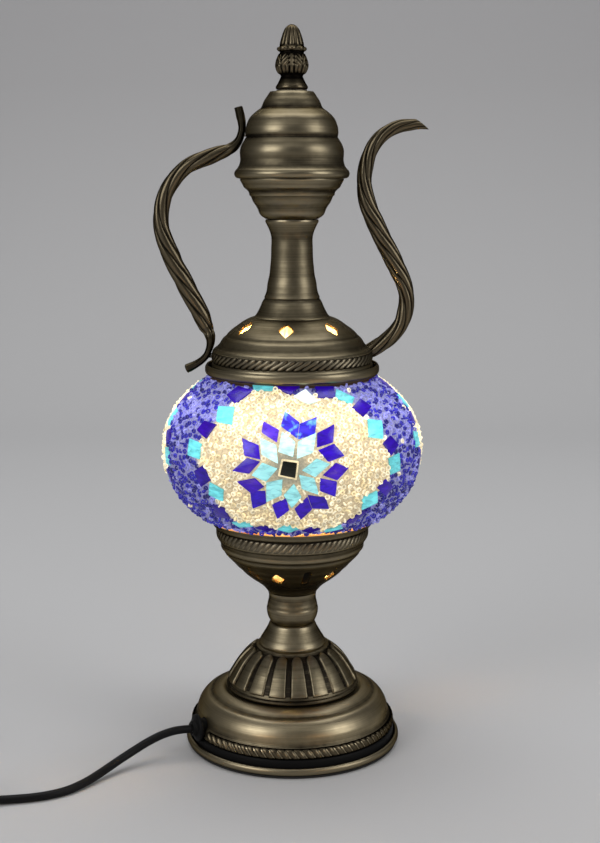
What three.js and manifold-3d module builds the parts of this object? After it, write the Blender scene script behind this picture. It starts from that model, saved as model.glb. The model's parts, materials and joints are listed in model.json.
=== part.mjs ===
// Mosaic glass table lamp in the shape of a ewer.
// Millimetres, +Z up. The origin is on the lamp's axis, at the underside of the foot pad.
// +X is the spout's side, -X the handle's side, -Y the front.
import * as THREE from 'three';
import { mergeVertices } from 'three/addons/utils/BufferGeometryUtils.js';
import Module from 'manifold-3d';

const wasm = await Module();
wasm.setup();

// ---------------------------------------------------------------- driving dimensions
const SEG = 24;                 // facets round the large turned parts
const SEG_S = 16;               // facets round the small turned parts
const GAP = 0.3;                // running gap between neighbouring solids
const WALL = 1.2;               // wall of the spun brass shells
const FOOT_R = 70.0;            // rolled rim of the bottom plate
const TUBE_R = 5.0;             // M10 x 1 threaded tube
const TUBE_BORE_R = 3.9;
const TUBE_HOLE_R = 5.4;        // clearance hole for the tube
const MOSAIC_T = 3.0;           // tiles, beads and grout on the glass
const GLASS_T = 2.5;
const CORD_D = 5.2;             // two-core round lead
const EXIT_DEG = 26;            // the lead leaves this far in front of -X
const EXIT_Z = 17.6;
const SOCKET_R = 13.5;          // E14 lampholder
const E14_CAP_R = 6.75;
const BULB_R = 22.5;            // G45 bulb
const COIL = { x: -250, y: -45, r0: 20.6, r1: 36.8, z0: 0.1, z1: 15.7 };
const SWITCH = { x: -222, y: -110, len: 60, wid: 24, high: 17, split: 7.0 };
const PLUG = { x: -285, y0: 24.3, y1: 58, wid: 35.3, thick: 13.7, z: 7.0, pinR: 2.0, pinL: 19, pitch: 18.6 };

// ---------------------------------------------------------------- helpers
// Closed, welded, outward-facing geometry from any triangle geometry.
function solid(geometry) {
  let g = geometry.clone();
  for (const name of Object.keys(g.attributes)) if (name !== 'position') g.deleteAttribute(name);
  g = mergeVertices(g, 1e-4);
  const p = g.attributes.position;
  const src = g.index.array;
  const idx = [];
  let volume = 0;
  for (let i = 0; i < src.length; i += 3) {
    const a = src[i], b = src[i + 1], c = src[i + 2];
    if (a === b || b === c || c === a) continue;
    idx.push(a, b, c);
    const ax = p.getX(a), ay = p.getY(a), az = p.getZ(a);
    const bx = p.getX(b), by = p.getY(b), bz = p.getZ(b);
    const cx = p.getX(c), cy = p.getY(c), cz = p.getZ(c);
    volume += (ax * (by * cz - bz * cy) - ay * (bx * cz - bz * cx) + az * (bx * cy - by * cx)) / 6;
  }
  if (volume < 0) for (let i = 0; i < idx.length; i += 3) [idx[i + 1], idx[i + 2]] = [idx[i + 2], idx[i + 1]];
  g.setIndex(idx);
  return g;
}

// Solid of revolution about Z. The profile is a list of [radius, z]; a ring's profile is
// closed here, a profile that starts and ends on the axis is left as it is.
function turned(profile, segments = SEG) {
  const pts = profile.map(([r, z]) => new THREE.Vector2(r, z));
  const onAxis = profile[0][0] === 0 && profile[profile.length - 1][0] === 0;
  if (!onAxis) pts.push(pts[0].clone());
  return solid(new THREE.LatheGeometry(pts, segments).rotateX(Math.PI / 2));
}

// A spun shell: outer profile from bottom to top and the same curve moved inwards by t.
function offset(profile, t) {
  const out = [];
  for (let i = 0; i < profile.length; i++) {
    const a = profile[Math.max(0, i - 1)], b = profile[Math.min(profile.length - 1, i + 1)];
    const dx = b[0] - a[0], dz = b[1] - a[1], l = Math.hypot(dx, dz) || 1;
    out.push([profile[i][0] - (dz / l) * t, profile[i][1] + (dx / l) * t]);
  }
  return out;
}

function toManifold(geometry) {
  const g = solid(geometry);
  return new wasm.Manifold(new wasm.Mesh({
    numProp: 3,
    vertProperties: new Float32Array(g.attributes.position.array),
    triVerts: new Uint32Array(g.index.array),
  }));
}

function fromManifold(m) {
  const mesh = m.getMesh();
  const g = new THREE.BufferGeometry();
  const n = mesh.vertProperties.length / mesh.numProp;
  const pos = new Float32Array(n * 3);
  for (let i = 0; i < n; i++) for (let k = 0; k < 3; k++) pos[3 * i + k] = mesh.vertProperties[i * mesh.numProp + k];
  g.setAttribute('position', new THREE.BufferAttribute(pos, 3));
  g.setIndex(Array.from(mesh.triVerts));
  return solid(g);
}

function cut(geometry, ...tools) {
  let m = toManifold(geometry);
  for (const t of tools) m = m.subtract(toManifold(t));
  return fromManifold(m);
}

function join(...parts) {
  let m = toManifold(parts[0]);
  for (const t of parts.slice(1)) m = m.add(toManifold(t));
  return fromManifold(m);
}

function cylinder(r0, r1, z0, z1, segments = 12) {
  return turned([[0, z0], [r0, z0], [r1, z1], [0, z1]], segments);
}

// A cylinder along any direction, from point a to point b.
function rod(a, b, r, segments = 10) {
  const A = new THREE.Vector3(...a), B = new THREE.Vector3(...b);
  const l = A.distanceTo(B);
  const g = cylinder(r, r, 0, l, segments);
  const q = new THREE.Quaternion().setFromUnitVectors(new THREE.Vector3(0, 0, 1), B.clone().sub(A).normalize());
  g.applyQuaternion(q);
  g.translate(A.x, A.y, A.z);
  return g;
}

function box(x0, y0, z0, x1, y1, z1) {
  return solid(new THREE.BoxGeometry(x1 - x0, y1 - y0, z1 - z0).translate((x0 + x1) / 2, (y0 + y1) / 2, (z0 + z1) / 2));
}

// Bar swept along points in the XZ plane: [x, z, thickness in the plane, width across it].
function sweptBar(stations, sides = 10, endVector = null) {
  const pos = [], idx = [];
  const n = stations.length;
  for (let i = 0; i < n; i++) {
    const a = stations[Math.max(0, i - 1)], b = stations[Math.min(n - 1, i + 1)];
    const tx = b[0] - a[0], tz = b[1] - a[1], l = Math.hypot(tx, tz);
    let nx = -tz / l, nz = tx / l;
    let half = stations[i][2] / 2;
    if (endVector && i === 0) { nx = endVector[0]; nz = endVector[1]; half = endVector[2]; }
    for (let k = 0; k < sides; k++) {
      const w = (2 * Math.PI * (k + 0.5)) / sides;
      pos.push(stations[i][0] + nx * half * Math.cos(w), (stations[i][3] / 2) * Math.sin(w), stations[i][1] + nz * half * Math.cos(w));
    }
  }
  for (let i = 0; i < n - 1; i++) for (let k = 0; k < sides; k++) {
    const a = i * sides + k, b = i * sides + ((k + 1) % sides), c = a + sides, d = b + sides;
    idx.push(a, c, b, b, c, d);
  }
  for (let k = 1; k < sides - 1; k++) {
    idx.push(0, k, k + 1);
    const e = (n - 1) * sides;
    idx.push(e, e + k + 1, e + k);
  }
  const g = new THREE.BufferGeometry();
  g.setAttribute('position', new THREE.Float32BufferAttribute(pos, 3));
  g.setIndex(idx);
  return solid(g);
}

// Round tube along a smooth curve through points.
function tube(points, r, steps, sides = 8) {
  const shape = new THREE.Shape();
  for (let k = 0; k < sides; k++) {
    const a = (2 * Math.PI * k) / sides;
    if (k) shape.lineTo(r * Math.cos(a), r * Math.sin(a)); else shape.moveTo(r, 0);
  }
  shape.closePath();
  const curve = new THREE.CatmullRomCurve3(points.map((p) => new THREE.Vector3(...p)), false, 'catmullrom', 0.5);
  return solid(new THREE.ExtrudeGeometry(shape, { steps, bevelEnabled: false, extrudePath: curve }));
}

function hexNut(flats, bore, z0, z1) {
  const shape = new THREE.Shape();
  for (let k = 0; k < 6; k++) {
    const a = (Math.PI / 3) * k, R = flats / Math.sqrt(3);
    if (k) shape.lineTo(R * Math.cos(a), R * Math.sin(a)); else shape.moveTo(R, 0);
  }
  shape.closePath();
  const hole = new THREE.Path();
  for (let k = 0; k < 12; k++) {
    const a = (-2 * Math.PI * k) / 12;
    if (k) hole.lineTo(bore * Math.cos(a), bore * Math.sin(a)); else hole.moveTo(bore, 0);
  }
  hole.closePath();
  shape.holes.push(hole);
  return solid(new THREE.ExtrudeGeometry(shape, { depth: z1 - z0, bevelEnabled: false }).translate(0, 0, z0));
}

// Rounded rectangle, extruded upwards.
function slab(cx, cy, lx, ly, corner, z0, z1, arc = 3) {
  const s = new THREE.Shape();
  const hx = lx / 2, hy = ly / 2, pts = [];
  for (const [sx, sy, a0] of [[1, 1, 0], [-1, 1, 90], [-1, -1, 180], [1, -1, 270]]) {
    for (let k = 0; k <= arc; k++) {
      const a = ((a0 + (90 * k) / arc) * Math.PI) / 180;
      pts.push([sx * (hx - corner) + corner * Math.cos(a), sy * (hy - corner) + corner * Math.sin(a)]);
    }
  }
  pts.forEach(([x, y], i) => (i ? s.lineTo(x, y) : s.moveTo(x, y)));
  s.closePath();
  return solid(new THREE.ExtrudeGeometry(s, { depth: z1 - z0, bevelEnabled: false }).translate(cx, cy, z0));
}

// ---------------------------------------------------------------- materials
const mat = (color, roughness, metalness, extra = {}) => new THREE.MeshStandardMaterial({ color, roughness, metalness, ...extra });
const M = {
  brass: mat(0x6e6650, 0.38, 1.0),
  brassDark: mat(0x4a4536, 0.45, 1.0),
  steel: mat(0xb8b8b4, 0.4, 1.0),
  glass: mat(0xf2efe6, 0.1, 0.0, { transparent: true, opacity: 0.5 }),
  mosaic: mat(0x4a3fd0, 0.25, 0.0),
  bulb: mat(0xfff2d8, 0.15, 0.0, { transparent: true, opacity: 0.6 }),
  rubber: mat(0x151515, 0.7, 0.0),
  foam: mat(0x101010, 0.95, 0.0),
  plasticBlack: mat(0x1a1a1a, 0.4, 0.0),
  plasticWhite: mat(0xe8e4d8, 0.45, 0.0),
  pin: mat(0xc9b98a, 0.3, 1.0),
};

const lamp = new THREE.Group();
lamp.name = 'mosaic_lamp';
function add(group, name, geometry, material) {
  const mesh = new THREE.Mesh(geometry, material);
  mesh.name = name;
  group.add(mesh);
  return mesh;
}
const baseGroup = new THREE.Group();
const bulbGroup = new THREE.Group();
const upperGroup = new THREE.Group();
const cordGroup = new THREE.Group();
lamp.add(baseGroup, bulbGroup, upperGroup, cordGroup);

// ---------------------------------------------------------------- base
add(baseGroup, 'foot_pad', turned([[10, 0], [68.6, 0], [68.6, 1.6], [10, 1.6]]), M.foam);
add(baseGroup, 'bottom_plate', turned([
  [0, 1.9], [68.6, 1.9], [69.8, 2.8], [FOOT_R, 4.4], [69.6, 5.9], [68.6, 6.6], [67.5, 6.2], [67.2, 5.2], [67.2, 3.0], [0, 3.0],
]), M.brass);
add(baseGroup, 'seal_ring', turned([[62.5, 3.3], [66.2, 3.3], [66.2, 10.9], [62.5, 10.9]]), M.rubber);

const dishOuter = [
  [65.9, 11.2], [65.9, 16.2], [64.0, 20.0], [62.6, 25.2], [59.6, 30.2],
  [54.6, 33.6], [52.4, 33.8], [43.8, 38.0], [TUBE_HOLE_R, 38.0],
];
const dishInner = [[TUBE_HOLE_R, 36.8], [43.4, 36.8], [54.2, 32.0], [60.4, 25.8], [62.8, 17.6], [62.8, 11.2]];
const ex = Math.cos((EXIT_DEG * Math.PI) / 180), ey = Math.sin((EXIT_DEG * Math.PI) / 180);
const along = (r, z = EXIT_Z) => [-ex * r, -ey * r, z];       // point on the lead's exit line
add(baseGroup, 'base_dish', cut(turned([...dishOuter, ...dishInner]), rod(along(50), along(80), 6.2, 12)), M.brass);

const domeOuter = [[43.5, 38.3], [43.5, 41.0], [39.4, 47.2], [35.0, 54.6], [30.4, 59.6], [23.4, 65.0]];
add(baseGroup, 'fluted_dome', turned([
  ...domeOuter, [TUBE_HOLE_R, 65.0], [TUBE_HOLE_R, 63.8], [22.8, 63.8], [29.4, 58.7], [33.8, 54.0], [42.2, 40.4], [42.2, 38.3],
]), M.brass);
add(baseGroup, 'stem_cone', turned([
  [23.3, 65.3], [19.6, 71.0], [16.6, 75.6], [14.8, 79.6], [TUBE_HOLE_R, 79.6],
  [TUBE_HOLE_R, 78.4], [13.9, 78.4], [18.4, 70.4], [21.8, 65.3],
], SEG_S), M.brass);
add(baseGroup, 'stem_collar', turned([
  [TUBE_HOLE_R, 79.9], [13.8, 79.9], [16.7, 85.4], [16.9, 90.0], [15.4, 93.0],
  [15.8, 100.6], [TUBE_HOLE_R, 100.6],
], SEG_S), M.brass);

const cupOuter = [
  [16.2, 100.9], [22.0, 107.2], [29.6, 113.0], [38.6, 122.0], [44.0, 127.8],
  [47.0, 134.6], [49.1, 138.4], [49.3, 144.4], [53.0, 149.4], [53.0, 150.4],
];
const cupInner = [
  [51.6, 150.4], [51.4, 149.2], [48.2, 144.8], [47.6, 138.8], [45.5, 134.4], [42.8, 128.4],
  [28.6, 113.8], [21.2, 108.2], [16.0, 102.1], [TUBE_HOLE_R, 102.1], [TUBE_HOLE_R, 100.9],
];
// A cutter through a wall: its outline is [along the meridian, across it], aimed along the wall's normal,
// which stands `tilt` degrees from straight up, at radius r and height z, at `deg` round the axis.
function piercing(outline, depth, r, z, tilt, deg) {
  const s = new THREE.Shape();
  outline.forEach(([a, b], i) => (i ? s.lineTo(a, b) : s.moveTo(a, b)));
  s.closePath();
  const g = solid(new THREE.ExtrudeGeometry(s, { depth, bevelEnabled: false }).translate(0, 0, -depth / 2));
  g.applyMatrix4(new THREE.Matrix4().makeRotationZ((deg * Math.PI) / 180)
    .multiply(new THREE.Matrix4().makeTranslation(r, 0, z))
    .multiply(new THREE.Matrix4().makeRotationY((tilt * Math.PI) / 180)));
  return g;
}
const lozenge = (l, w) => [[-l / 2, 0], [0, -w / 2], [l / 2, 0], [0, w / 2]];
// Twelve piercings round the cup's cone: six lozenges and six upright slots, in turn.
const cupCuts = [];
for (let k = 0; k < 12; k++) {
  const outline = k % 2 === 0 ? lozenge(12, 8.4) : [[-7, -2.2], [7, -2.6], [7, 2.6], [-7, 2.2]];
  cupCuts.push(piercing(outline, 14, 33.8, 117.2, 135, -105 + 30 * k));
}
add(baseGroup, 'globe_cup', cut(turned([...cupOuter, ...cupInner]), ...cupCuts), M.brass);

add(baseGroup, 'threaded_tube', turned([[TUBE_BORE_R, 29], [TUBE_R, 29], [TUBE_R, 117], [TUBE_BORE_R, 117]], 12), M.steel);
add(baseGroup, 'lower_nut', hexNut(14, TUBE_HOLE_R, 30.8, 35.0), M.steel);
add(baseGroup, 'lower_washer', turned([[TUBE_HOLE_R, 35.3], [12, 35.3], [12, 36.5], [TUBE_HOLE_R, 36.5]], 16), M.steel);
add(baseGroup, 'upper_washer', turned([[TUBE_HOLE_R, 102.4], [12, 102.4], [12, 103.6], [TUBE_HOLE_R, 103.6]], 16), M.steel);
add(baseGroup, 'upper_nut', hexNut(14, TUBE_HOLE_R, 103.9, 108.1), M.steel);
add(baseGroup, 'holder_shell', turned([
  [TUBE_HOLE_R, 109.0], [8.0, 109.0], [SOCKET_R, 115.0], [SOCKET_R, 150.0], [12.0, 150.0], [12.0, 118.0], [TUBE_HOLE_R, 118.0],
], 16), M.plasticWhite);
add(baseGroup, 'holder_core', turned([[0, 118.4], [11.6, 118.4], [11.6, 149.0], [8.3, 149.0], [8.3, 122.0], [0, 122.0]], 16), M.plasticWhite);
add(baseGroup, 'holder_screw_shell', turned([[7.2, 125.0], [7.9, 125.0], [7.9, 147.0], [7.2, 147.0]], 16), M.pin);
add(baseGroup, 'holder_contact', cylinder(3.0, 2.2, 122.3, 124.6, 10), M.pin);
add(baseGroup, 'globe_gasket', turned([[43.4, 139.2], [46.8, 139.2], [46.8, 143.3], [43.4, 143.3]]), M.rubber);

// ---------------------------------------------------------------- lead inside the base, and its grommet
const lathedAlong = (profile, z = EXIT_Z) => {
  // profile [radius, distance from the lamp's axis], turned about the exit line
  const g = turned(profile, 14);
  g.rotateY(Math.PI / 2);                       // +Z to +X
  g.rotateZ(Math.PI + (EXIT_DEG * Math.PI) / 180);
  g.translate(0, 0, z);
  return g;
};
add(baseGroup, 'cord_grommet', lathedAlong([
  [3.0, 58.0], [7.0, 58.0], [7.0, 60.0], [5.8, 60.0], [5.8, 66.5], [8.1, 66.5], [8.1, 69.0], [5.0, 70.6], [4.6, 71.8], [3.0, 71.8],
]), M.rubber);
add(baseGroup, 'cord_grip', lathedAlong([[2.9, 51.2], [6.4, 51.2], [6.4, 57.6], [2.9, 57.6]]), M.plasticBlack);
const inner = [along(71.5), along(60), along(50.5), along(44.5, 16.2), along(37.5, 12.9), along(29.5, 9.3)];
for (let k = 0; k <= 6; k++) {
  const a = (Math.PI / 2) * (k / 6);
  inner.push(along(20 - 20 * Math.sin(a), 27.4 - 20 * Math.cos(a)));
}
inner.push([0, 0, 40], [0, 0, 60], [0, 0, 80], [0, 0, 100], [0, 0, 117.6]);
add(baseGroup, 'inner_lead', tube(inner, 2.4, 26, 6), M.rubber);

// ---------------------------------------------------------------- bulb
add(bulbGroup, 'bulb_contact', cylinder(2.0, 3.2, 125.2, 128.0, 10), M.steel);
add(bulbGroup, 'bulb_cap', turned([
  [3.6, 128.3], [5.4, 128.3], [E14_CAP_R, 130.4], [E14_CAP_R, 146.6], [7.6, 149.6], [7.0, 149.6], [5.9, 146.6], [5.9, 130.6], [3.6, 130.2],
], 16), M.pin);
add(bulbGroup, 'bulb_glass', turned([
  [7.4, 150.0], [12.6, 158.0], [19.6, 168.6], [BULB_R, 181.4], [19.8, 194.8], [12.0, 202.0], [0, 204.2],
  [0, 203.2], [11.4, 201.1], [18.9, 194.2], [21.5, 181.4], [18.7, 169.2], [11.8, 158.8], [6.5, 150.6],
], 16), M.bulb);
add(bulbGroup, 'bulb_stem', turned([[0, 147.0], [4.6, 147.0], [4.6, 152.0], [2.2, 160.0], [1.8, 168.0], [0, 169.0]], 10), M.glass);
add(bulbGroup, 'bulb_filament', solid(new THREE.TorusGeometry(7.0, 0.7, 4, 10).translate(0, 0, 176)), M.pin);

// ---------------------------------------------------------------- globe, its metalwork and the top
const mosaicOuter = [
  [54.8, 151.5], [61.4, 154.8], [68.4, 161.2], [75.2, 169.6], [80.2, 181.0],
  [82.5, 196.0], [80.6, 210.4], [74.0, 223.6], [63.4, 234.6], [51.0, 243.0],
];
const mosaicInner = offset(mosaicOuter, MOSAIC_T);
add(upperGroup, 'mosaic_layer', turned([...mosaicOuter, ...mosaicInner.slice().reverse()]), M.mosaic);
const glassMid = offset(mosaicOuter, MOSAIC_T + GAP).slice(1, -1);
const glassMidIn = offset(mosaicOuter, MOSAIC_T + GAP + GLASS_T).slice(2, -1);
add(upperGroup, 'glass_globe', turned([
  [46.4, 143.6], [46.4, 150.6], [53.4, 155.0], ...glassMid, [49.0, 240.1], [46.6, 241.8], [44.6, 243.9],
  [43.6, 242.0], ...glassMidIn.slice().reverse(), [52.6, 157.8], [44.0, 152.4], [43.9, 143.6],
]), M.glass);

add(upperGroup, 'gallery_tray', turned([
  [43.4, 244.4], [53.0, 243.6], [55.0, 244.8], [55.0, 249.0], [54.2, 250.0], [53.4, 249.4], [53.4, 245.6], [43.4, 245.6],
]), M.brass);
const capOuter = [
  [50.9, 246.2], [50.8, 258.4], [46.8, 261.8], [44.6, 264.8], [42.0, 267.4],
  [37.4, 272.0], [31.8, 276.0], [26.0, 279.2],
];
const capInner = [[25.2, 278.2], [36.4, 271.0], [43.4, 264.2], [45.7, 261.0], [49.4, 257.8], [49.5, 246.2]];
const capCuts = [];
for (let k = 0; k < 7; k++) capCuts.push(piercing(lozenge(12, 9), 12, 34.2, 273.9, 36, -95.6 + (360 / 7) * k));
const screwHole = (x, z, dx, r) => rod([x, 0, z], [x + dx, 0, z], r, 10);
add(upperGroup, 'cap_dome', cut(turned([...capOuter, ...capInner]), ...capCuts, screwHole(-56, 254.8, 12, 1.9), screwHole(44, 257.6, 14, 2.3)), M.brass);

add(upperGroup, 'neck', turned([
  [25.4, 279.6], [21.6, 283.2], [18.9, 288.6], [17.1, 291.4], [15.8, 299.0], [13.3, 312.0],
  [13.1, 330.0], [17.4, 341.2], [16.1, 341.2], [11.9, 330.2], [12.1, 312.0], [15.8, 291.4], [20.6, 282.6], [24.4, 279.4],
], SEG_S), M.brass);
add(upperGroup, 'head_lower', turned([
  [17.2, 341.5], [19.4, 342.6], [26.8, 356.2], [30.2, 359.8], [32.4, 365.6], [31.1, 365.6],
  [29.1, 360.6], [25.7, 356.8], [18.7, 342.9], [TUBE_HOLE_R, 342.7], [TUBE_HOLE_R, 341.5],
], SEG_S), M.brass);
const headUpperOuter = [
  [34.6, 365.9], [35.7, 368.4], [33.8, 371.8], [32.4, 374.4], [32.2, 382.4], [29.8, 389.0],
  [28.5, 393.2], [28.1, 398.4], [22.8, 405.7], [19.0, 408.8], [14.0, 417.8], [TUBE_HOLE_R, 417.8],
];
const headUpperInner = [[TUBE_HOLE_R, 416.6], [13.2, 416.6], [18.1, 408.0], [21.8, 405.0], [26.9, 398.0], [27.3, 392.9], [31.0, 382.2], [31.2, 374.2], [33.4, 369.4], [32.9, 365.9]];
add(upperGroup, 'head_upper', cut(turned([...headUpperOuter, ...headUpperInner], SEG_S), screwHole(-34, 392.4, 12, 1.9)), M.brass);

add(upperGroup, 'cross_bar', cut(slab(0, 0, 89, 14, 6.9, 238.4, 240.4), cylinder(TUBE_HOLE_R, TUBE_HOLE_R, 230, 250, 12)), M.steel);
add(upperGroup, 'tie_rod', turned([[TUBE_BORE_R, 232.0], [TUBE_R, 232.0], [TUBE_R, 425.0], [TUBE_BORE_R, 425.0]], 12), M.steel);
add(upperGroup, 'cross_bar_nut', hexNut(14, TUBE_HOLE_R, 233.8, 238.1), M.steel);
add(upperGroup, 'cross_bar_washer', turned([[TUBE_HOLE_R, 240.7], [10, 240.7], [10, 241.9], [TUBE_HOLE_R, 241.9]], 12), M.steel);
add(upperGroup, 'tie_rod_nut', hexNut(14, TUBE_HOLE_R, 242.2, 246.4), M.steel);
add(upperGroup, 'finial_washer', turned([[TUBE_HOLE_R, 418.1], [9.4, 418.1], [9.4, 418.9], [TUBE_HOLE_R, 418.9]], 16), M.brassDark);

// Handle: a twisted bar that flattens to a strip at both ends.
const handleLine = [
  [-32.4, 407.2, 4.7, 8.4], [-31.1, 399.2, 4.3, 9.0], [-31.1, 395.6, 3.8, 9.4], [-31.9, 392.0, 4.0, 9.4], [-33.4, 388.6, 4.4, 9.4],
  [-35.9, 385.4, 5.4, 9.4], [-39.6, 382.9, 7.2, 9.6], [-44.5, 381.0, 9.1, 9.8], [-57.8, 376.3, 9.9, 10.0],
  [-64.2, 373.1, 9.6, 10.0], [-69.6, 368.8, 9.5, 10.0], [-74.1, 363.7, 9.8, 10.0], [-77.9, 357.4, 9.8, 10.2],
  [-81.6, 344.4, 9.9, 10.4], [-81.7, 337.2, 10.1, 10.6], [-80.4, 330.4, 10.6, 10.8], [-75.5, 317.3, 11.5, 11.4],
  [-63.0, 291.9, 11.6, 11.2], [-56.9, 279.6, 11.0, 10.4], [-54.2, 273.1, 9.0, 10.0], [-52.4, 268.4, 6.6, 10.0], [-51.7, 264.8, 5.0, 9.8], [-52.0, 261.4, 4.2, 9.6],
  [-54.8, 254.6, 3.8, 9.2], [-57.5, 251.8, 3.8, 9.0], [-60.7, 249.6, 4.0, 9.0], [-66.9, 246.4, 4.8, 9.0],
];
add(upperGroup, 'handle', cut(sweptBar(handleLine, 8), screwHole(-32.9, 392.4, 8, 1.8), screwHole(-54.9, 254.8, 8, 1.8)), M.brass);
add(upperGroup, 'handle_screw_top', join(rod([-32.5, 0, 392.4], [-26.3, 0, 392.4], 1.5, 8), rod([-26.5, 0, 392.4], [-24.3, 0, 392.4], 2.8, 10)), M.steel);
add(upperGroup, 'handle_screw_bottom', join(rod([-54.5, 0, 254.8], [-48.1, 0, 254.8], 1.5, 8), rod([-48.3, 0, 254.8], [-46.1, 0, 254.8], 2.8, 10)), M.steel);

const spoutLine = [
  [82.4, 395.75, 5.6, 8.6], [74.0, 396.1, 7.2, 9.0], [67.3, 395.6, 8.0, 9.4], [61.1, 393.6, 8.4, 9.6], [55.5, 390.3, 8.5, 9.8],
  [51.1, 385.6, 8.7, 10.0], [47.8, 379.4, 9.1, 10.0], [44.9, 366.0, 9.5, 10.2], [45.2, 359.3, 9.9, 10.4],
  [48.6, 345.7, 11.1, 11.2], [57.3, 326.9, 11.5, 11.4], [66.7, 308.3, 11.1, 11.0],
  [71.6, 295.4, 10.1, 10.4], [72.1, 288.6, 10.0, 10.2], [71.2, 282.1, 10.1, 10.2], [69.0, 275.4, 9.9, 10.2],
  [65.2, 269.8, 9.9, 10.2], [60.2, 264.9, 10.2, 10.4], [46.0, 255.4, 9.8, 10.8],
];
const keepOut = turned([[0, 240], [55.6, 240], [55.6, 250.4], [51.3, 250.5], [51.2, 258.7], [47.1, 262.1], [44.9, 265.1], [42.3, 267.8], [0, 268]], SEG);
add(upperGroup, 'spout', cut(sweptBar(spoutLine, 8, [3.1 / 4.21, -2.85 / 4.21, -4.21]), keepOut, screwHole(46, 257.6, 8.2, 2.1)), M.brass);
add(upperGroup, 'spout_screw', join(rod([53.8, 0, 257.6], [45.3, 0, 257.6], 1.7, 8), rod([45.6, 0, 257.6], [43.4, 0, 257.6], 3.0, 10)), M.steel);

// ---------------------------------------------------------------- finial
const finialGroup = new THREE.Group();
lamp.add(finialGroup);
add(finialGroup, 'finial', turned([
  [TUBE_HOLE_R, 419.2], [10.1, 419.2], [9.6, 421.8], [7.3, 426.6], [10.1, 432.4], [9.6, 436.6], [7.5, 441.5],
  [8.6, 443.8], [6.2, 449.2], [5.0, 453.8], [2.6, 457.0], [0, 458.0], [0, 426.0], [TUBE_HOLE_R, 426.0],
], 14), M.brass);

// ---------------------------------------------------------------- free lead, in-line switch, plug
const leadA = [
  [-64.6, -31.5, 17.6], [-70.2, -34.0, 18.4], [-76.4, -36.2, 18.2], [-83.6, -38.6, 16.6], [-91.6, -42.0, 13.6], [-100.0, -47.4, 10.0], [-108.8, -56.2, 6.7],
  [-117.2, -67.9, 4.4], [-125.8, -80.4, 3.1], [-134.6, -90.4, 2.65], [-144.2, -96.9, 2.65], [-153.9, -100.0, 2.65], [-163.3, -101.8, 2.75], [-172.2, -104.0, 3.2],
  [-180.0, -106.8, 4.4], [-186.4, -109.0, 5.9], [-190.9, -109.8, 6.8],
];
leadA[0] = along(72.2, 17.65);
add(cordGroup, 'lead_to_switch', tube(leadA, CORD_D / 2, 16, 8), M.rubber);
const leadB = [
  [-253.1, -109.8, 6.8], [-257.4, -109.0, 5.9], [-264.6, -106.2, 4.4], [-272.4, -101.0, 3.1], [-278.8, -93.2, 2.7], [-282.6, -83.8, 2.65], [-283.8, -73.8, 2.65], [-283.9, -66.2, 2.65],
];
add(cordGroup, 'lead_to_coil', tube(leadB, CORD_D / 2, 7, 8), M.rubber);
add(cordGroup, 'lead_coil', turned([[COIL.r0, COIL.z0], [COIL.r1, COIL.z0], [COIL.r1, COIL.z1], [COIL.r0, COIL.z1]], 24).translate(COIL.x, COIL.y, 0), M.rubber);
add(cordGroup, 'lead_to_plug', tube([[-284.2, -24.0, 10.0], [-284.7, -16.5, 8.4], [-285.0, -7.0, 7.2], [-285, 1.5, 7.0]], CORD_D / 2, 4, 8), M.rubber);
const sx0 = SWITCH.x - SWITCH.len / 2, sx1 = SWITCH.x + SWITCH.len / 2;
const channel = rod([sx0 - 5, SWITCH.y, SWITCH.split], [sx1 + 5, SWITCH.y, SWITCH.split], 2.95, 10);
add(cordGroup, 'switch_lower', cut(
  slab(SWITCH.x, SWITCH.y, SWITCH.len, SWITCH.wid, 9, 0.1, SWITCH.split - 0.15),
  slab(SWITCH.x, SWITCH.y, 40, 18, 2, 1.7, 20, 1), channel,
  cylinder(1.3, 1.3, -1, 12, 8).translate(SWITCH.x - 24, SWITCH.y + 6.0, 0), cylinder(1.3, 1.3, -1, 12, 8).translate(SWITCH.x + 24, SWITCH.y - 6.0, 0),
), M.plasticBlack);
add(cordGroup, 'switch_upper', cut(
  slab(SWITCH.x, SWITCH.y, SWITCH.len, SWITCH.wid, 9, SWITCH.split + 0.15, SWITCH.high),
  slab(SWITCH.x, SWITCH.y, 40, 18, 2, 0, SWITCH.high - 1.8, 1), channel,
  slab(SWITCH.x, SWITCH.y, 20.6, 10.6, 0.6, 8, 30, 1),
  cylinder(1.3, 1.3, 4, 12, 8).translate(SWITCH.x - 24, SWITCH.y + 6.0, 0), cylinder(1.3, 1.3, 4, 12, 8).translate(SWITCH.x + 24, SWITCH.y - 6.0, 0),
), M.plasticBlack);
for (const [name, dx, dy] of [['switch_screw_a', -24, 6.0], ['switch_screw_b', 24, -6.0]]) {
  add(cordGroup, name, cylinder(1.0, 1.0, 0.5, 11.5, 8).translate(SWITCH.x + dx, SWITCH.y + dy, 0), M.steel);
}
// Rocker: a shallow V on top, standing at its on side, 8 degrees from level, on a cross pin at ROCKER_Z.
const ROCKER_Z = 14.0;
const tilt = (-8 * Math.PI) / 180;
const rockerOutline = [[-9.0, -0.6], [9.0, -0.6], [9.6, 3.4], [0, 2.4], [-9.6, 3.4]]
  .map(([x, z]) => [x * Math.cos(tilt) + z * Math.sin(tilt), -x * Math.sin(tilt) + z * Math.cos(tilt)]);
const rockerShape = new THREE.Shape();
rockerOutline.forEach(([x, z], i) => (i ? rockerShape.lineTo(x, z) : rockerShape.moveTo(x, z)));
rockerShape.closePath();
const rockerBody = solid(new THREE.ExtrudeGeometry(rockerShape, { depth: 9.6, bevelEnabled: false }).rotateX(Math.PI / 2).translate(0, 4.8, 0));
const rocker = join(rockerBody, box(-1.6, -1.8, -3.2, 1.6, 1.8, 0.4)).translate(SWITCH.x, SWITCH.y, ROCKER_Z);
const rockerGroup = new THREE.Group();
lamp.add(rockerGroup);
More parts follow.
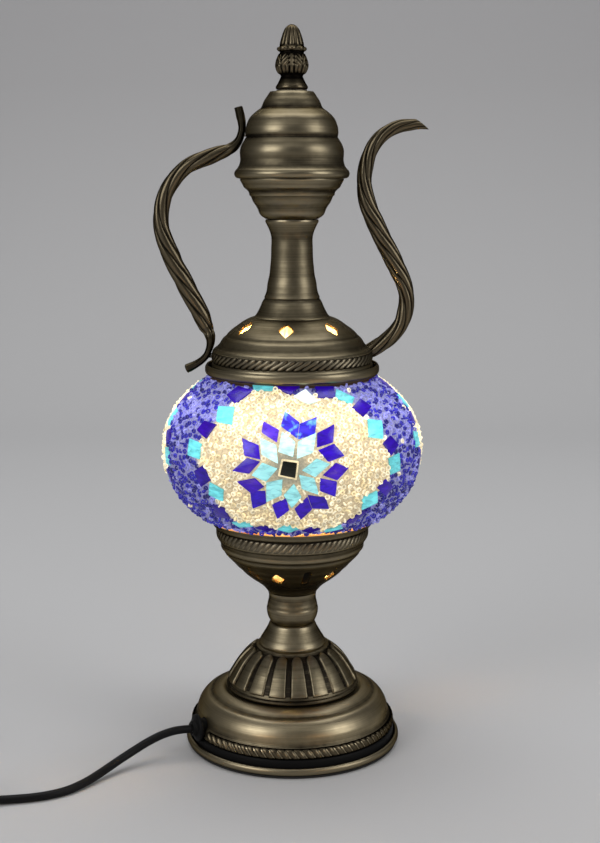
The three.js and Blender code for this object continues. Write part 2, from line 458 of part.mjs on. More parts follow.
add(rockerGroup, 'switch_rocker', rocker, M.plasticBlack);
add(cordGroup, 'switch_contact', box(SWITCH.x - 8, SWITCH.y - 2.4, 2.0, SWITCH.x - 6, SWITCH.y + 2.4, 9.8), M.pin);

add(cordGroup, 'plug_relief', rotY(turned([[3.0, 2.0], [3.6, 2.0], [5.6, 24.0], [3.0, 24.0]], 12), PLUG.x, PLUG.z), M.plasticBlack);
function rotY(g, x, z) { // lathe axis +Z turned to +Y
  g.rotateX(-Math.PI / 2);
  g.translate(x, 0, z);
  return g;
}
const plugBody = slab(PLUG.x, 0, PLUG.wid, PLUG.thick, 6.5, 0, PLUG.y1 - PLUG.y0, 4);
plugBody.translate(-PLUG.x, 0, 0);
plugBody.rotateX(-Math.PI / 2);
plugBody.translate(PLUG.x, PLUG.y0, PLUG.z);
const pinHole = (s, r, y0, y1) => rod([PLUG.x + (s * PLUG.pitch) / 2, y0, PLUG.z], [PLUG.x + (s * PLUG.pitch) / 2, y1, PLUG.z], r, 12);
add(cordGroup, 'plug_body', cut(plugBody, pinHole(-1, PLUG.pinR + GAP, 48, 70), pinHole(1, PLUG.pinR + GAP, 48, 70), rod([PLUG.x, 20, PLUG.z], [PLUG.x, 34, PLUG.z], 3.0, 10)), M.plasticBlack);
add(cordGroup, 'plug_pin_a', pinHole(-1, PLUG.pinR, 48.4, PLUG.y1 + PLUG.pinL), M.pin);
add(cordGroup, 'plug_pin_b', pinHole(1, PLUG.pinR, 48.4, PLUG.y1 + PLUG.pinL), M.pin);

export default lamp;
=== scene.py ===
import bpy
import json
import math
import numpy as np
from mathutils import Matrix, Vector


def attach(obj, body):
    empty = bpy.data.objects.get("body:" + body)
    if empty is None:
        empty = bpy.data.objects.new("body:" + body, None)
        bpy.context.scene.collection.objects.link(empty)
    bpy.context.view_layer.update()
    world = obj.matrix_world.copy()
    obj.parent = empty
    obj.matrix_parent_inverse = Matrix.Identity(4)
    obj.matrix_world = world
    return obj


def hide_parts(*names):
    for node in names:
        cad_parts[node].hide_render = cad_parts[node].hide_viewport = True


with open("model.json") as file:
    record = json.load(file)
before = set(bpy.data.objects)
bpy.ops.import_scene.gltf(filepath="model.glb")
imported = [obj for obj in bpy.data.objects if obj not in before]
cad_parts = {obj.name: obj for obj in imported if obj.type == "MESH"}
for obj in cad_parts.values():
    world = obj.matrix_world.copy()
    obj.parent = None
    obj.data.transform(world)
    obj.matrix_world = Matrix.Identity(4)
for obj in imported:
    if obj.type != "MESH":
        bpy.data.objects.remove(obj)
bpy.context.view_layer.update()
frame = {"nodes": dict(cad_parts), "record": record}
nodes = frame["nodes"]
scene = bpy.context.scene
COL = scene.collection
MM = 0.001
scene.view_settings.view_transform = "Standard"
scene.view_settings.look = "None"

# ------------------------------------------------------------------ camera
cam_data = bpy.data.cameras.new("camera")
cam = bpy.data.objects.new("camera", cam_data)
COL.objects.link(cam)
cam_data.lens = 60.0
cam_data.sensor_width = 36.0
cam_data.clip_start = 0.02
cam_data.clip_end = 20.0
cam.location = (0.005, -0.885, 0.3675)
cam.rotation_euler = (math.radians(80.05), 0.0, 0.0)
scene.camera = cam


# --------------------------------------------------------------- materials
def lin(r, g, b):
    """sRGB 0-255 to linear."""
    out = []
    for c in (r, g, b):
        c = c / 255.0
        out.append(c / 12.92 if c <= 0.04045 else ((c + 0.055) / 1.055) ** 2.4)
    return tuple(out)


def rgba(c):
    return (c[0], c[1], c[2], 1.0)


class Mat:
    """A Principled material with a few helpers for its procedural nodes."""

    def __init__(self, name):
        self.m = bpy.data.materials.new(name)
        self.m.use_nodes = True
        self.nt = self.m.node_tree
        self.nt.nodes.clear()
        out = self.new("ShaderNodeOutputMaterial")
        self.b = self.new("ShaderNodeBsdfPrincipled")
        self.link(self.b.outputs[0], out.inputs[0])
        self.tc = self.new("ShaderNodeTexCoord")

    def new(self, kind, **props):
        n = self.nt.nodes.new(kind)
        for k, v in props.items():
            setattr(n, k, v)
        return n

    def link(self, a, b):
        self.nt.links.new(a, b)

    def set(self, **sockets):
        names = dict(
            base="Base Color", metal="Metallic", rough="Roughness", ior="IOR", spec="Specular IOR Level",
            coat="Coat Weight", coat_rough="Coat Roughness", trans="Transmission Weight", emit="Emission Color",
            emit_strength="Emission Strength", aniso="Anisotropic", aniso_rot="Anisotropic Rotation", alpha="Alpha",
            sheen="Sheen Weight", sss="Subsurface Weight",
        )
        for k, v in sockets.items():
            s = self.b.inputs[names[k]]
            s.default_value = rgba(v) if isinstance(v, tuple) else v
        return self

    def math(self, op, a, b=None, c=None, clamp=False):
        n = self.new("ShaderNodeMath", operation=op, use_clamp=clamp)
        for i, v in enumerate((a, b, c)):
            if v is None:
                continue
            if isinstance(v, (int, float)):
                n.inputs[i].default_value = v
            else:
                self.link(v, n.inputs[i])
        return n.outputs[0]

    def noise(self, scale, detail=2.0, rough=0.5, vector=None, dist=0.0):
        n = self.new("ShaderNodeTexNoise")
        n.inputs["Scale"].default_value = scale
        n.inputs["Detail"].default_value = detail
        n.inputs["Roughness"].default_value = rough
        n.inputs["Distortion"].default_value = dist
        self.link(vector if vector is not None else self.tc.outputs["Object"], n.inputs["Vector"])
        return n.outputs["Fac"]

    def ramp(self, fac, stops):
        n = self.new("ShaderNodeValToRGB")
        e = n.color_ramp.elements
        while len(e) < len(stops):
            e.new(0.5)
        for el, (p, c) in zip(e, stops):
            el.position = p
            el.color = rgba(c) if isinstance(c, tuple) else (c, c, c, 1.0)
        self.link(fac, n.inputs[0])
        return n.outputs[0]

    def remap(self, fac, a, b, lo=0.0, hi=1.0):
        n = self.new("ShaderNodeMapRange")
        self.link(fac, n.inputs[0])
        n.inputs[1].default_value = lo
        n.inputs[2].default_value = hi
        n.inputs[3].default_value = a
        n.inputs[4].default_value = b
        return n.outputs[0]

    def attr(self, name):
        n = self.new("ShaderNodeAttribute", attribute_type="GEOMETRY", attribute_name=name)
        return n

    def mix(self, fac, a, b, mode="MIX"):
        n = self.new("ShaderNodeMix", data_type="RGBA", blend_type=mode)
        for idx, v in ((0, fac), (6, a), (7, b)):
            if isinstance(v, tuple):
                n.inputs[idx].default_value = rgba(v)
            elif isinstance(v, (int, float)):
                n.inputs[idx].default_value = v
            else:
                self.link(v, n.inputs[idx])
        return n.outputs[2]

    def bump(self, height, strength, distance):
        n = self.new("ShaderNodeBump")
        n.inputs["Strength"].default_value = strength
        n.inputs["Distance"].default_value = distance
        self.link(height, n.inputs["Height"])
        self.link(n.outputs[0], self.b.inputs["Normal"])
        return n

    def cylinder_coords(self, kr, kz, kt):
        """(radius, height, a slow walk round the axis): streaks from this run round a lathe-turned part."""
        sep = self.new("ShaderNodeSeparateXYZ")
        self.link(self.tc.outputs["Object"], sep.inputs[0])
        x, y, z = sep.outputs
        r = self.math("SQRT", self.math("ADD", self.math("MULTIPLY", x, x), self.math("MULTIPLY", y, y)))
        com = self.new("ShaderNodeCombineXYZ")
        self.link(self.math("MULTIPLY", r, kr), com.inputs[0])
        self.link(self.math("MULTIPLY", z, kz), com.inputs[1])
        self.link(self.math("MULTIPLY", self.math("ADD", x, y), kt), com.inputs[2])
        return com.outputs[0], x, y, z, r


def antique(name, bright, mid, dark, rough=(0.24, 0.38), aniso=0.35, gain=0.30, lines=1.0):
    """Antiqued brass: polished round the axis, dark patina kept in the grooves, rubbed bright on the edges."""
    m = Mat(name)
    vec, x, y, z, r = m.cylinder_coords(1500.0, 1500.0, 14.0)
    fine = m.noise(1.0, 3.0, 0.62, vector=vec)
    vec2, *_ = m.cylinder_coords(420.0, 420.0, 5.0)
    broad = m.noise(1.0, 2.0, 0.5, vector=vec2)
    cloud = m.noise(38.0, 3.0, 0.55)
    spots = m.noise(260.0, 4.0, 0.6)
    cav = m.attr("cav").outputs["Fac"]
    v = m.math("ADD", 0.5, m.math("MULTIPLY", cav, gain))
    v = m.math("ADD", v, m.math("MULTIPLY", m.math("SUBTRACT", cloud, 0.5), 0.42))
    v = m.math("ADD", v, m.math("MULTIPLY", m.math("SUBTRACT", fine, 0.5), 0.34 * lines))
    v = m.math("ADD", v, m.math("MULTIPLY", m.math("SUBTRACT", broad, 0.5), 0.30 * lines))
    v = m.math("ADD", v, m.math("MULTIPLY", m.math("SUBTRACT", spots, 0.5), 0.14), clamp=True)
    col = m.ramp(v, [(0.0, bright), (0.30, bright), (0.52, mid), (0.80, dark), (1.0, dark)])
    m.link(col, m.b.inputs["Base Color"])
    rg = m.math("ADD", m.remap(fine, rough[0], rough[1], 0.25, 0.75), m.remap(v, -0.02, 0.16, 0.3, 1.0))
    m.link(rg, m.b.inputs["Roughness"])
    m.set(metal=1.0, aniso=aniso)
    m.b.inputs["Specular Tint"].default_value = (0.10, 0.09, 0.075, 1.0)
    if aniso:
        t = m.new("ShaderNodeTangent", direction_type="RADIAL", axis="Z")
        m.link(t.outputs[0], m.b.inputs["Tangent"])
    h = m.math("ADD", m.math("MULTIPLY", fine, 0.7), m.math("MULTIPLY", broad, 0.5))
    m.bump(h, 0.16, 0.00012)
    return m.m


BRASS = antique("antique_brass", (0.245, 0.207, 0.135), (0.155, 0.130, 0.083), (0.022, 0.018, 0.013), rough=(0.29, 0.42))
# painted light: a lighter copy of the same brass for the dish, standing in for the brighter light that falls on the
# foot
BRASS_LIT_COPY_FOOT = antique("antique_brass_lit_copy_foot", (0.34, 0.285, 0.185), (0.225, 0.188, 0.118), (0.026, 0.021, 0.015), rough=(0.29, 0.42))
BRASS_ROD = antique("antique_brass_rod", (0.118, 0.096, 0.061), (0.047, 0.039, 0.025), (0.005, 0.004, 0.003),
                    rough=(0.26, 0.40), aniso=0.0, gain=0.46, lines=0.5)
BRASS_DARK = antique("dark_brass", (0.15, 0.125, 0.085), (0.085, 0.070, 0.050), (0.015, 0.013, 0.010), rough=(0.34, 0.5))
BRASS_ROPE = antique("antique_brass_rope", (0.17, 0.145, 0.10), (0.065, 0.055, 0.038), (0.006, 0.005, 0.004),
                     rough=(0.30, 0.44), aniso=0.0, gain=0.5, lines=0.5)


def simple(name, base, rough, metal=0.0, scale=400.0, vary=0.18, bump=0.05, dist=0.0001, **more):
    """A plain finish with a small change of tone, gloss and height over it."""
    m = Mat(name)
    n = m.noise(scale, 4.0, 0.6)
    big = m.noise(scale * 0.07, 2.0, 0.5)
    f = m.math("ADD", m.math("MULTIPLY", n, 0.6), m.math("MULTIPLY", big, 0.4))
    lo = tuple(c * (1 - vary) for c in base)
    hi = tuple(min(1.0, c * (1 + vary)) for c in base)
    m.link(m.ramp(f, [(0.3, lo), (0.7, hi)]), m.b.inputs["Base Color"])
    m.link(m.remap(f, max(0.02, rough - 0.07), min(1.0, rough + 0.07), 0.3, 0.7), m.b.inputs["Roughness"])
    m.set(metal=metal, **more)
    m.bump(n, bump, dist)
    return m.m


ZINC = simple("zinc_steel", (0.60, 0.60, 0.58), 0.32, 1.0, 700.0, 0.14)
PLAIN_BRASS = simple("plain_brass", (0.72, 0.56, 0.28), 0.26, 1.0, 600.0, 0.12)
BULB_METAL = simple("bulb_metal", (0.72, 0.72, 0.70), 0.30, 1.0, 500.0, 0.12)
RUBBER = simple("rubber_black", (0.003, 0.003, 0.003), 0.6, 0.0, 900.0, 0.25, 0.12, spec=0.12)
FOAM = simple("foam_black", (0.010, 0.010, 0.010), 0.85, 0.0, 1500.0, 0.3, 0.5, 0.0003)
CORD = simple("cord_black", (0.0045, 0.0045, 0.005), 0.48, 0.0, 1200.0, 0.2, 0.10, spec=0.14)
PLASTIC = simple("plastic_black", (0.016, 0.016, 0.017), 0.34, 0.0, 1600.0, 0.15, 0.10, 0.00006)
HOLDER = simple("holder_plastic", (0.70, 0.67, 0.58), 0.50, 0.0, 500.0, 0.06)
CERAMIC = simple("holder_ceramic", (0.80, 0.79, 0.74), 0.16, 0.0, 300.0, 0.04, 0.02)
SLOT_MAT = dict(antique_brass=BRASS, dark_brass=BRASS_DARK, zinc_steel=ZINC, plain_brass=PLAIN_BRASS,
                bulb_metal=BULB_METAL, rubber_black=RUBBER, foam_black=FOAM, cord_black=CORD,
                plastic_black=PLASTIC, holder_plastic=HOLDER, holder_ceramic=CERAMIC)


# ---------------------------------------------------------------- geometry
def add(name, verts, faces, mat, body, replaced=(), attrs=None, sharp=40.0, smooth=True, mm=True):
    me = bpy.data.meshes.new(name)
    v = np.asarray(verts, float).reshape(-1, 3) * (MM if mm else 1.0)
    if isinstance(faces, np.ndarray):
        nf, k = faces.shape
        me.vertices.add(len(v))
        me.vertices.foreach_set("co", v.astype(np.float32).ravel())
        me.loops.add(nf * k)
        me.loops.foreach_set("vertex_index", faces.astype(np.int32).ravel())
        me.polygons.add(nf)
        me.polygons.foreach_set("loop_start", np.arange(0, nf * k, k, dtype=np.int32))
        me.update(calc_edges=True)
        me.validate()
    else:
        me.from_pydata(v.tolist(), [], faces)
        me.update()
    if attrs:
        for key, val in attrs.items():
            val = np.asarray(val, np.float32)
            if val.ndim == 1:
                a = me.attributes.new(key, "FLOAT", "POINT")
                a.data.foreach_set("value", val)
            else:
                a = me.attributes.new(key, "FLOAT_COLOR", "POINT")
                a.data.foreach_set("color", np.hstack([val, np.ones((len(val), 1), np.float32)]).ravel())
    if smooth:
        me.polygons.foreach_set("use_smooth", np.ones(len(me.polygons), bool))
        if sharp:
            me.set_sharp_from_angle(angle=math.radians(sharp))
    o = bpy.data.objects.new(name, me)
    COL.objects.link(o)
    me.materials.append(mat)
    if body:
        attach(o, body)
    if replaced:
        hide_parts(*replaced)
    return o


def smooth_line(pts, step=0.8, corner=48.0):
    """A dense line through the points: smooth, except where it turns by more than corner degrees."""
    P = np.asarray(pts, float)
    d = np.diff(P, axis=0)
    ln = np.linalg.norm(d[:, :2], axis=1)
    u = d[:, :2] / np.maximum(ln, 1e-9)[:, None]
    n = len(P)
    tin, tout = [None] * n, [None] * n
    for i in range(n):
        a = u[i - 1] if i > 0 else u[0]
        b = u[i] if i < n - 1 else u[-1]
        turn = math.degrees(math.acos(max(-1.0, min(1.0, float(a @ b)))))
        if turn > corner or i in (0, n - 1):
            tin[i], tout[i] = a, b
        else:
            wa, wb = ln[i], ln[i - 1]
            t = a * wa + b * wb
            t = t / max(np.linalg.norm(t), 1e-9)
            tin[i] = tout[i] = t
    out = [P[0]]
    for i in range(n - 1):
        k = max(1, int(round(ln[i] / step)))
        for j in range(1, k + 1):
            t = j / k
            h00, h10 = 2 * t ** 3 - 3 * t ** 2 + 1, t ** 3 - 2 * t ** 2 + t
            h01, h11 = -2 * t ** 3 + 3 * t ** 2, t ** 3 - t ** 2
            m0 = min(ln[i], 3 * ln[i - 1]) if i > 0 else ln[i]
            m1 = min(ln[i], 3 * ln[i + 1]) if i < n - 2 else ln[i]
            q = P[i] * (1 - t) + P[i + 1] * t
            q = q.copy()
            q[:2] = h00 * P[i][:2] + h10 * m0 * tout[i] + h01 * P[i + 1][:2] + h11 * m1 * tin[i + 1]
            out.append(q)
    return np.array(out)


def normals2(line, closed=False):
    """Outward normals of a profile that runs upwards on the outside."""
    if closed:
        t = np.roll(line, -1, 0) - np.roll(line, 1, 0)
    else:
        t = np.gradient(line, axis=0)
    t = t[:, :2]
    t = t / np.maximum(np.linalg.norm(t, axis=1), 1e-9)[:, None]
    return np.stack([t[:, 1], -t[:, 0]], 1)


def hollow_measure(line, reach=2.2, scale=0.45):
    """How hollow the profile is at each point: over 0 in a groove, under 0 on an edge."""
    P = line[:, :2]
    s = np.concatenate([[0], np.cumsum(np.linalg.norm(np.diff(P, axis=0), axis=1))])
    nrm = normals2(line)
    out = np.zeros(len(P))
    for k, w in ((1.0, 0.5), (2.0, 0.5)):
        a = np.stack([np.interp(s - reach * k, s, P[:, 0]), np.interp(s - reach * k, s, P[:, 1])], 1)
        b = np.stack([np.interp(s + reach * k, s, P[:, 0]), np.interp(s + reach * k, s, P[:, 1])], 1)
        out += w * (((a + b) / 2 - P) * nrm).sum(1) / (scale * k * k)
    return np.clip(out, -1, 1)


def wall_inside(outer, wall):
    """The inner side of a thin wall, from the top down."""
    line = smooth_line(outer, 3.0)
    n = normals2(line)
    q = line[:, :2] - n * wall
    keep = [q[0] * 0 + [max(outer[0][0] - wall, 0.2), outer[0][1]]]
    for p in q[1:-1]:
        if p[1] > keep[-1][1] + 0.6 and p[1] < outer[-1][1] - 0.4:
            keep.append(p)
    keep.append(np.array([max(outer[-1][0] - wall, 0.2), outer[-1][1]]))
    return [tuple(p) for p in keep[::-1]]


def grid_faces(rows, cols, close_rows=False, close_cols=True):
    i = np.arange(rows if close_rows else rows - 1)
    j = np.arange(cols if close_cols else cols - 1)
    I, J = np.meshgrid(i, j, indexing="ij")
    I2, J2 = (I + 1) % rows, (J + 1) % cols
    return np.stack([I * cols + J, I * cols + J2, I2 * cols + J2, I2 * cols + J], -1).reshape(-1, 4)


def shell(name, outer, mat, body, inner=None, wall=1.3, seg=160, step=0.8, disp=None,
          replaced=(), axis=None, corner=48.0, sharp=38.0, lamplit_inside=None):
    """A lathe-turned shell, closed all round: the outer profile upwards, then the inner one down."""
    o = smooth_line(outer, step, corner)
    inn = np.asarray(inner if inner is not None else wall_inside(outer, wall), float)
    cav_o = hollow_measure(o)
    loop = np.vstack([o[:, :2], inn[:, :2]])
    cav = np.concatenate([cav_o, np.full(len(inn), 0.5)])
    nrm = np.vstack([normals2(o), np.zeros((len(inn), 2))])
    th = np.linspace(0, 2 * math.pi, seg, endpoint=False)
    R = np.repeat(loop[:, :1], seg, 1)
    Z = np.repeat(loop[:, 1:2], seg, 1)
    C = np.repeat(cav[:, None], seg, 1)
    if disp is not None:
        az = np.degrees(th) + 90.0  # degrees from the front (-Y) towards +X
        dd, cc = disp(az[None, :], o[:, 0][:, None], o[:, 1][:, None])
        k = len(o)
        R[:k] += dd * nrm[:k, :1]
        Z[:k] += dd * nrm[:k, 1:2]
        C[:k] = np.clip(C[:k] + cc, -1, 1)
    X, Y = R * np.cos(th), R * np.sin(th)
    V = np.stack([X, Y, Z], -1).reshape(-1, 3)
    F = grid_faces(len(loop), seg, close_rows=True)
    if axis is not None:
        V = V @ np.array(axis[:3, :3]).T + np.array(axis[:3, 3])
    ob = add(name, V, F, mat, body, replaced, attrs={"cav": C.ravel()}, sharp=sharp)
    # painted light: the inner faces take the second material, the glowing inside
    if lamplit_inside is not None:
        ob.data.materials.append(lamplit_inside)
        row = F[:, 0] // seg
        inside = (row >= len(o)) & (row < len(loop) - 1)
        ob.data.polygons.foreach_set("material_index", inside.astype(np.int32))
    return ob


def wrap(a, period):
    """a brought into -period/2 .. period/2."""
    return (a + period / 2.0) % period - period / 2.0


def sstep(t):
    t = np.clip(t, 0, 1)
    return t * t * (3 - 2 * t)


def rope(name, lo, hi, n, slant, amp, body, mat, gap=None, rows=9, per=9, back=1.2, s_curve=0.0, flat=1.0):
    """A twisted cord of metal round the part: slanting strands, round on top, dark between."""
    cols = n * per
    th = np.arange(cols) / cols * 2 * math.pi
    t = np.linspace(0, 1, rows)[:, None]
    r0 = lo[0] + (hi[0] - lo[0]) * t
    z0 = lo[1] + (hi[1] - lo[1]) * t
    ph = n * th[None, :] / (2 * math.pi) + slant * t + s_curve * np.sin(2 * math.pi * t)
    u = ph % 1.0
    b = np.clip(1 - np.abs(2 * u - 1) ** 2.4, 0, 1) ** (0.8 * flat)
    e = np.clip(1 - (2 * t - 1) ** 2, 0, 1) ** 0.45
    r = r0 + amp * b * e - 0.25 * (1 - e)
    z = np.repeat(z0, cols, 1)
    rb = np.vstack([r, np.repeat(hi[0] - back, cols)[None, :], np.repeat(lo[0] - back, cols)[None, :]])
    zb = np.vstack([z, np.repeat(hi[1], cols)[None, :], np.repeat(lo[1], cols)[None, :]])
    cv = np.clip(np.vstack([1.0 - 2.1 * b * e, np.ones((2, cols))]), -1, 1)
    V = np.stack([rb * np.cos(th), rb * np.sin(th), zb], -1).reshape(-1, 3)
    R = rows + 2
    F = grid_faces(R, cols, close_rows=True)
    if gap:
        a0, a1 = gap
        az = (np.degrees(th) + 90.0)
        j = F[:, 0] % cols
        m = wrap(az[j] - (a0 + a1) / 2, 360.0)
        F = F[np.abs(m) > (a1 - a0) / 2]
    return add(name, V, F, mat, body, attrs={"cav": cv.ravel()}, sharp=75.0)


def cut(obj, verts, faces):
    """Takes the closed solid from the object, once."""
    me = bpy.data.meshes.new("cutter")
    me.from_pydata((np.asarray(verts) * MM).tolist(), [], faces)
    me.update()
    tool = bpy.data.objects.new("cutter", me)
    COL.objects.link(tool)
    m = obj.modifiers.new("cut", "BOOLEAN")
    m.operation, m.solver, m.object = "DIFFERENCE", "EXACT", tool
    bpy.context.view_layer.update()
    dg = bpy.context.evaluated_depsgraph_get()
    new = bpy.data.meshes.new_from_object(obj.evaluated_get(dg))
    obj.modifiers.clear()
    obj.data = new
    bpy.data.objects.remove(tool)
    new.polygons.foreach_set("use_smooth", np.ones(len(new.polygons), bool))
    new.set_sharp_from_angle(angle=math.radians(38))


def prisms(outline, depth, r, z, tilt_deg, azimuths):
    """Prisms through a lathe-turned wall. The outline is (across, along the slope); the slope's normal is tilt_deg above the horizon."""
    V, F = [], []
    k = len(outline)
    tl = math.radians(tilt_deg)
    for azd in azimuths:
        a = math.radians(azd - 90.0)
        er = np.array([math.cos(a), math.sin(a), 0.0])
        et = np.array([-math.sin(a), math.cos(a), 0.0])
        ez = np.array([0, 0, 1.0])
        nn = er * math.cos(tl) + ez * math.sin(tl)
        up = -er * math.sin(tl) + ez * math.cos(tl)
        c = er * r + ez * z
        b = len(V)
        for d in (-depth, depth):
            for p, q in outline:
                V.append(c + et * p + up * q + nn * d)
        F.append([b + i for i in range(k)][::-1])
        F.append([b + k + i for i in range(k)])
        for i in range(k):
            j = (i + 1) % k
            F.append([b + i, b + j, b + k + j, b + k + i])
    return V, F


def lozenge(w, h, belly=0.12):
    """A pointed oval: a lozenge with slightly full sides."""
    pts = []
    corners = [(w / 2, 0), (0, h / 2), (-w / 2, 0), (0, -h / 2)]
    for i in range(4):
        a, b = np.array(corners[i]), np.array(corners[(i + 1) % 4])
        for t in (0.0, 0.25, 0.5, 0.75):
            p = a * (1 - t) + b * t
            pts.append(tuple(p * (1 + belly * 4 * t * (1 - t))))
    return pts


def slot_outline(w, h):
    r = w / 2
    pts = []
    for k in range(9):
        a = math.pi * k / 8
        pts.append((r * math.cos(a), h / 2 - r + r * math.sin(a)))
    for k in range(9):
        a = math.pi + math.pi * k / 8
        pts.append((r * math.cos(a), -(h / 2 - r) + r * math.sin(a)))
    return pts


# -------------------------------------------------------------------- cord
CORD_D = 5.2
COIL_C = (-250.0, -45.0)
route = [
    (-64.89, -31.65, 17.65), (-70.3, -34.1, 18.25), (-76.4, -36.5, 18.0), (-83.6, -39.2, 16.4), (-91.6, -43.0, 13.5),
    (-100.0, -48.6, 10.0), (-108.8, -56.9, 6.8), (-117.2, -67.9, 4.5), (-125.8, -80.0, 3.15), (-134.6, -89.8, 2.68),
    (-144.2, -96.3, 2.65), (-153.9, -100.0, 2.65), (-163.3, -102.2, 2.75), (-172.2, -104.4, 3.2), (-180.0, -106.9, 4.4),
    (-186.4, -108.9, 5.9), (-190.9, -109.8, 6.8), (-198, -110, 7), (-210, -110, 7), (-222, -110, 7), (-234, -110, 7),
    (-246, -110, 7), (-253.1, -109.8, 6.8), (-257.4, -109.0, 5.9), (-264.6, -106.2, 4.4), (-272.4, -101.0, 3.1),
    (-278.8, -93.2, 2.7), (-282.6, -83.8, 2.65), (-283.8, -73.8, 2.65), (-283.9, -66.2, 2.65), (-283.9, -54.5, 2.65),
]
turns = [(33.9, 2.65), (28.7, 2.65), (23.5, 2.65), (23.5, 7.85), (28.7, 7.85), (33.9, 7.85), (28.7, 13.0), (33.9, 13.0)]
for k, (r, z) in enumerate(turns):
    nr, nz = turns[k + 1] if k + 1 < len(turns) else (r, z)
    for j in range(16):
        t = j / 16
        w = float(sstep((t - 0.55) / 0.45))
        a = math.pi - 2 * math.pi * t
        rr = r + (nr - r) * w
        route.append((COIL_C[0] + rr * math.cos(a), COIL_C[1] + rr * math.sin(a), z + (nz - z) * w))
route += [(-283.9, -45, 13.0), (-284.0, -35.5, 12.3), (-284.3, -26, 10.4), (-284.7, -16.5, 8.4), (-285, -7, 7.1),
          (-285, 3, 7), (-285, 13, 7), (-285, 22, 7), (-285, 31, 7)]
P = np.array(route, float)
tan = np.vstack([P[1] - P[0], (P[2:] - P[:-2]) / 2, P[-1] - P[-2]])
# the route as a Bezier curve with a round bevel
cu = bpy.data.curves.new("mains_lead", "CURVE")
cu.dimensions = "3D"
sp = cu.splines.new("BEZIER")
sp.bezier_points.add(len(P) - 1)
for b, p, t in zip(sp.bezier_points, P, tan):
    b.handle_left_type = b.handle_right_type = "FREE"
    b.co = p * MM
    b.handle_left = (p - t / 3) * MM
    b.handle_right = (p + t / 3) * MM
sp.resolution_u = 5
cu.bevel_depth = CORD_D / 2 * MM
cu.bevel_resolution = 4
cu.use_fill_caps = True
cu.materials.append(CORD)
lead = bpy.data.objects.new("mains_lead", cu)
COL.objects.link(lead)
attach(lead, "base")
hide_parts("lead_to_switch", "lead_to_coil", "lead_coil", "lead_to_plug")


def tube(name, line, radius, mat, body, closed=True, k=8, flatten=None):
    """A round or flat band along a closed line."""
    L = np.asarray(line, float)
    n = len(L)
    t = np.roll(L, -1, 0) - np.roll(L, 1, 0)
    t /= np.linalg.norm(t, axis=1)[:, None]
    ref = np.array(flatten if flatten is not None else (0, 0, 1.0))
    side = np.repeat(ref[None], n, 0)
    nrm = np.cross(side, t)
    nrm /= np.linalg.norm(nrm, axis=1)[:, None]
    ra, rb = radius
    V = []
    for j in range(k):
        a = 2 * math.pi * j / k
        V.append(L + side * ra * math.cos(a) + nrm * rb * math.sin(a))
    V = np.stack(V, 1).reshape(-1, 3)
    return add(name, V, grid_faces(n, k, close_rows=True), mat, body, sharp=60)


# the tie that holds the coil: a flat band round its section on the side away from the lamp
band = []
for k in range(48):
    a = 2 * math.pi * k / 48
    ca, sa = math.cos(a), math.sin(a)
    y = -45.0 + 28.7 + 8.9 * math.copysign(abs(ca) ** 0.55, ca)
    z = 8.05 + 8.15 * math.copysign(abs(sa) ** 0.55, sa)
    band.append((-250.0, y, max(z, 0.3)))
tie = tube("coil_tie", band, (2.1, 0.45), RUBBER, "base", flatten=(1.0, 0, 0))
tail = []
for k in range(24):
    a = 2 * math.pi * k / 24
    tail.append((-250.0 + 2.6 * math.cos(a), -45 + 28.7 + 2.6 * math.sin(a), 16.6))
knot = tube("coil_tie_knot", tail, (0.9, 0.9), RUBBER, "base")

# -------------------------------------------------------------------- foot
foot = shell("foot_felt", [(10, 0.0), (68.2, 0.0), (68.6, 0.4), (68.6, 1.2), (68.2, 1.6), (10, 1.6)], FOAM, "base",
             inner=[(10, 1.2), (10, 0.4)], replaced=("foot_pad",), seg=128)
plate = shell("foot_plate", [(0.3, 1.9), (67.4, 1.9), (68.6, 1.95), (69.5, 2.5), (70.0, 3.4), (70.0, 4.5), (69.7, 5.6),
                             (69.0, 6.4), (68.2, 6.55), (67.5, 6.1), (67.2, 5.2), (67.1, 3.4), (66.4, 3.0), (0.3, 3.0)],
              BRASS, "base", inner=[(0.3, 2.6), (0.3, 2.2)], replaced=("bottom_plate",), seg=192, step=0.6, corner=70)
seal = shell("seal_band", [(62.5, 3.3), (65.9, 3.3), (66.3, 3.8), (66.3, 10.3), (65.8, 10.9), (62.5, 10.9)], RUBBER,
             "base", inner=[(62.5, 9.0), (62.5, 5.0)], replaced=("seal_ring",), seg=128)

dish_outer = [(64.2, 11.2), (65.0, 11.25), (65.7, 12.0), (65.8, 13.5), (65.7, 15.8), (64.9, 17.2), (63.8, 18.4), (63.2, 19.6),
              (62.9, 21), (62.3, 23.8), (61.3, 26.5), (59.8, 29), (57.8, 31.3), (56.4, 32.4), (55.0, 32.95), (54.0, 33.2),
              (53.1, 33.5), (52.2, 34.1), (51.2, 34.9), (50.0, 35.7), (48.4, 36.5), (46.6, 37.1), (45.2, 37.2), (44.3, 36.8),
              (43.6, 36.7), (30, 36.9), (5.4, 38.0)]
dish = shell("dish", dish_outer, BRASS_LIT_COPY_FOOT, "base",
             inner=[(5.4, 36.8), (44.5, 36.6), (51.3, 33.0), (56.0, 30.5), (58.9, 27), (60.7, 23), (61.9, 17), (63.0, 11.2)],
             replaced=("base_dish",), seg=216, step=0.7)
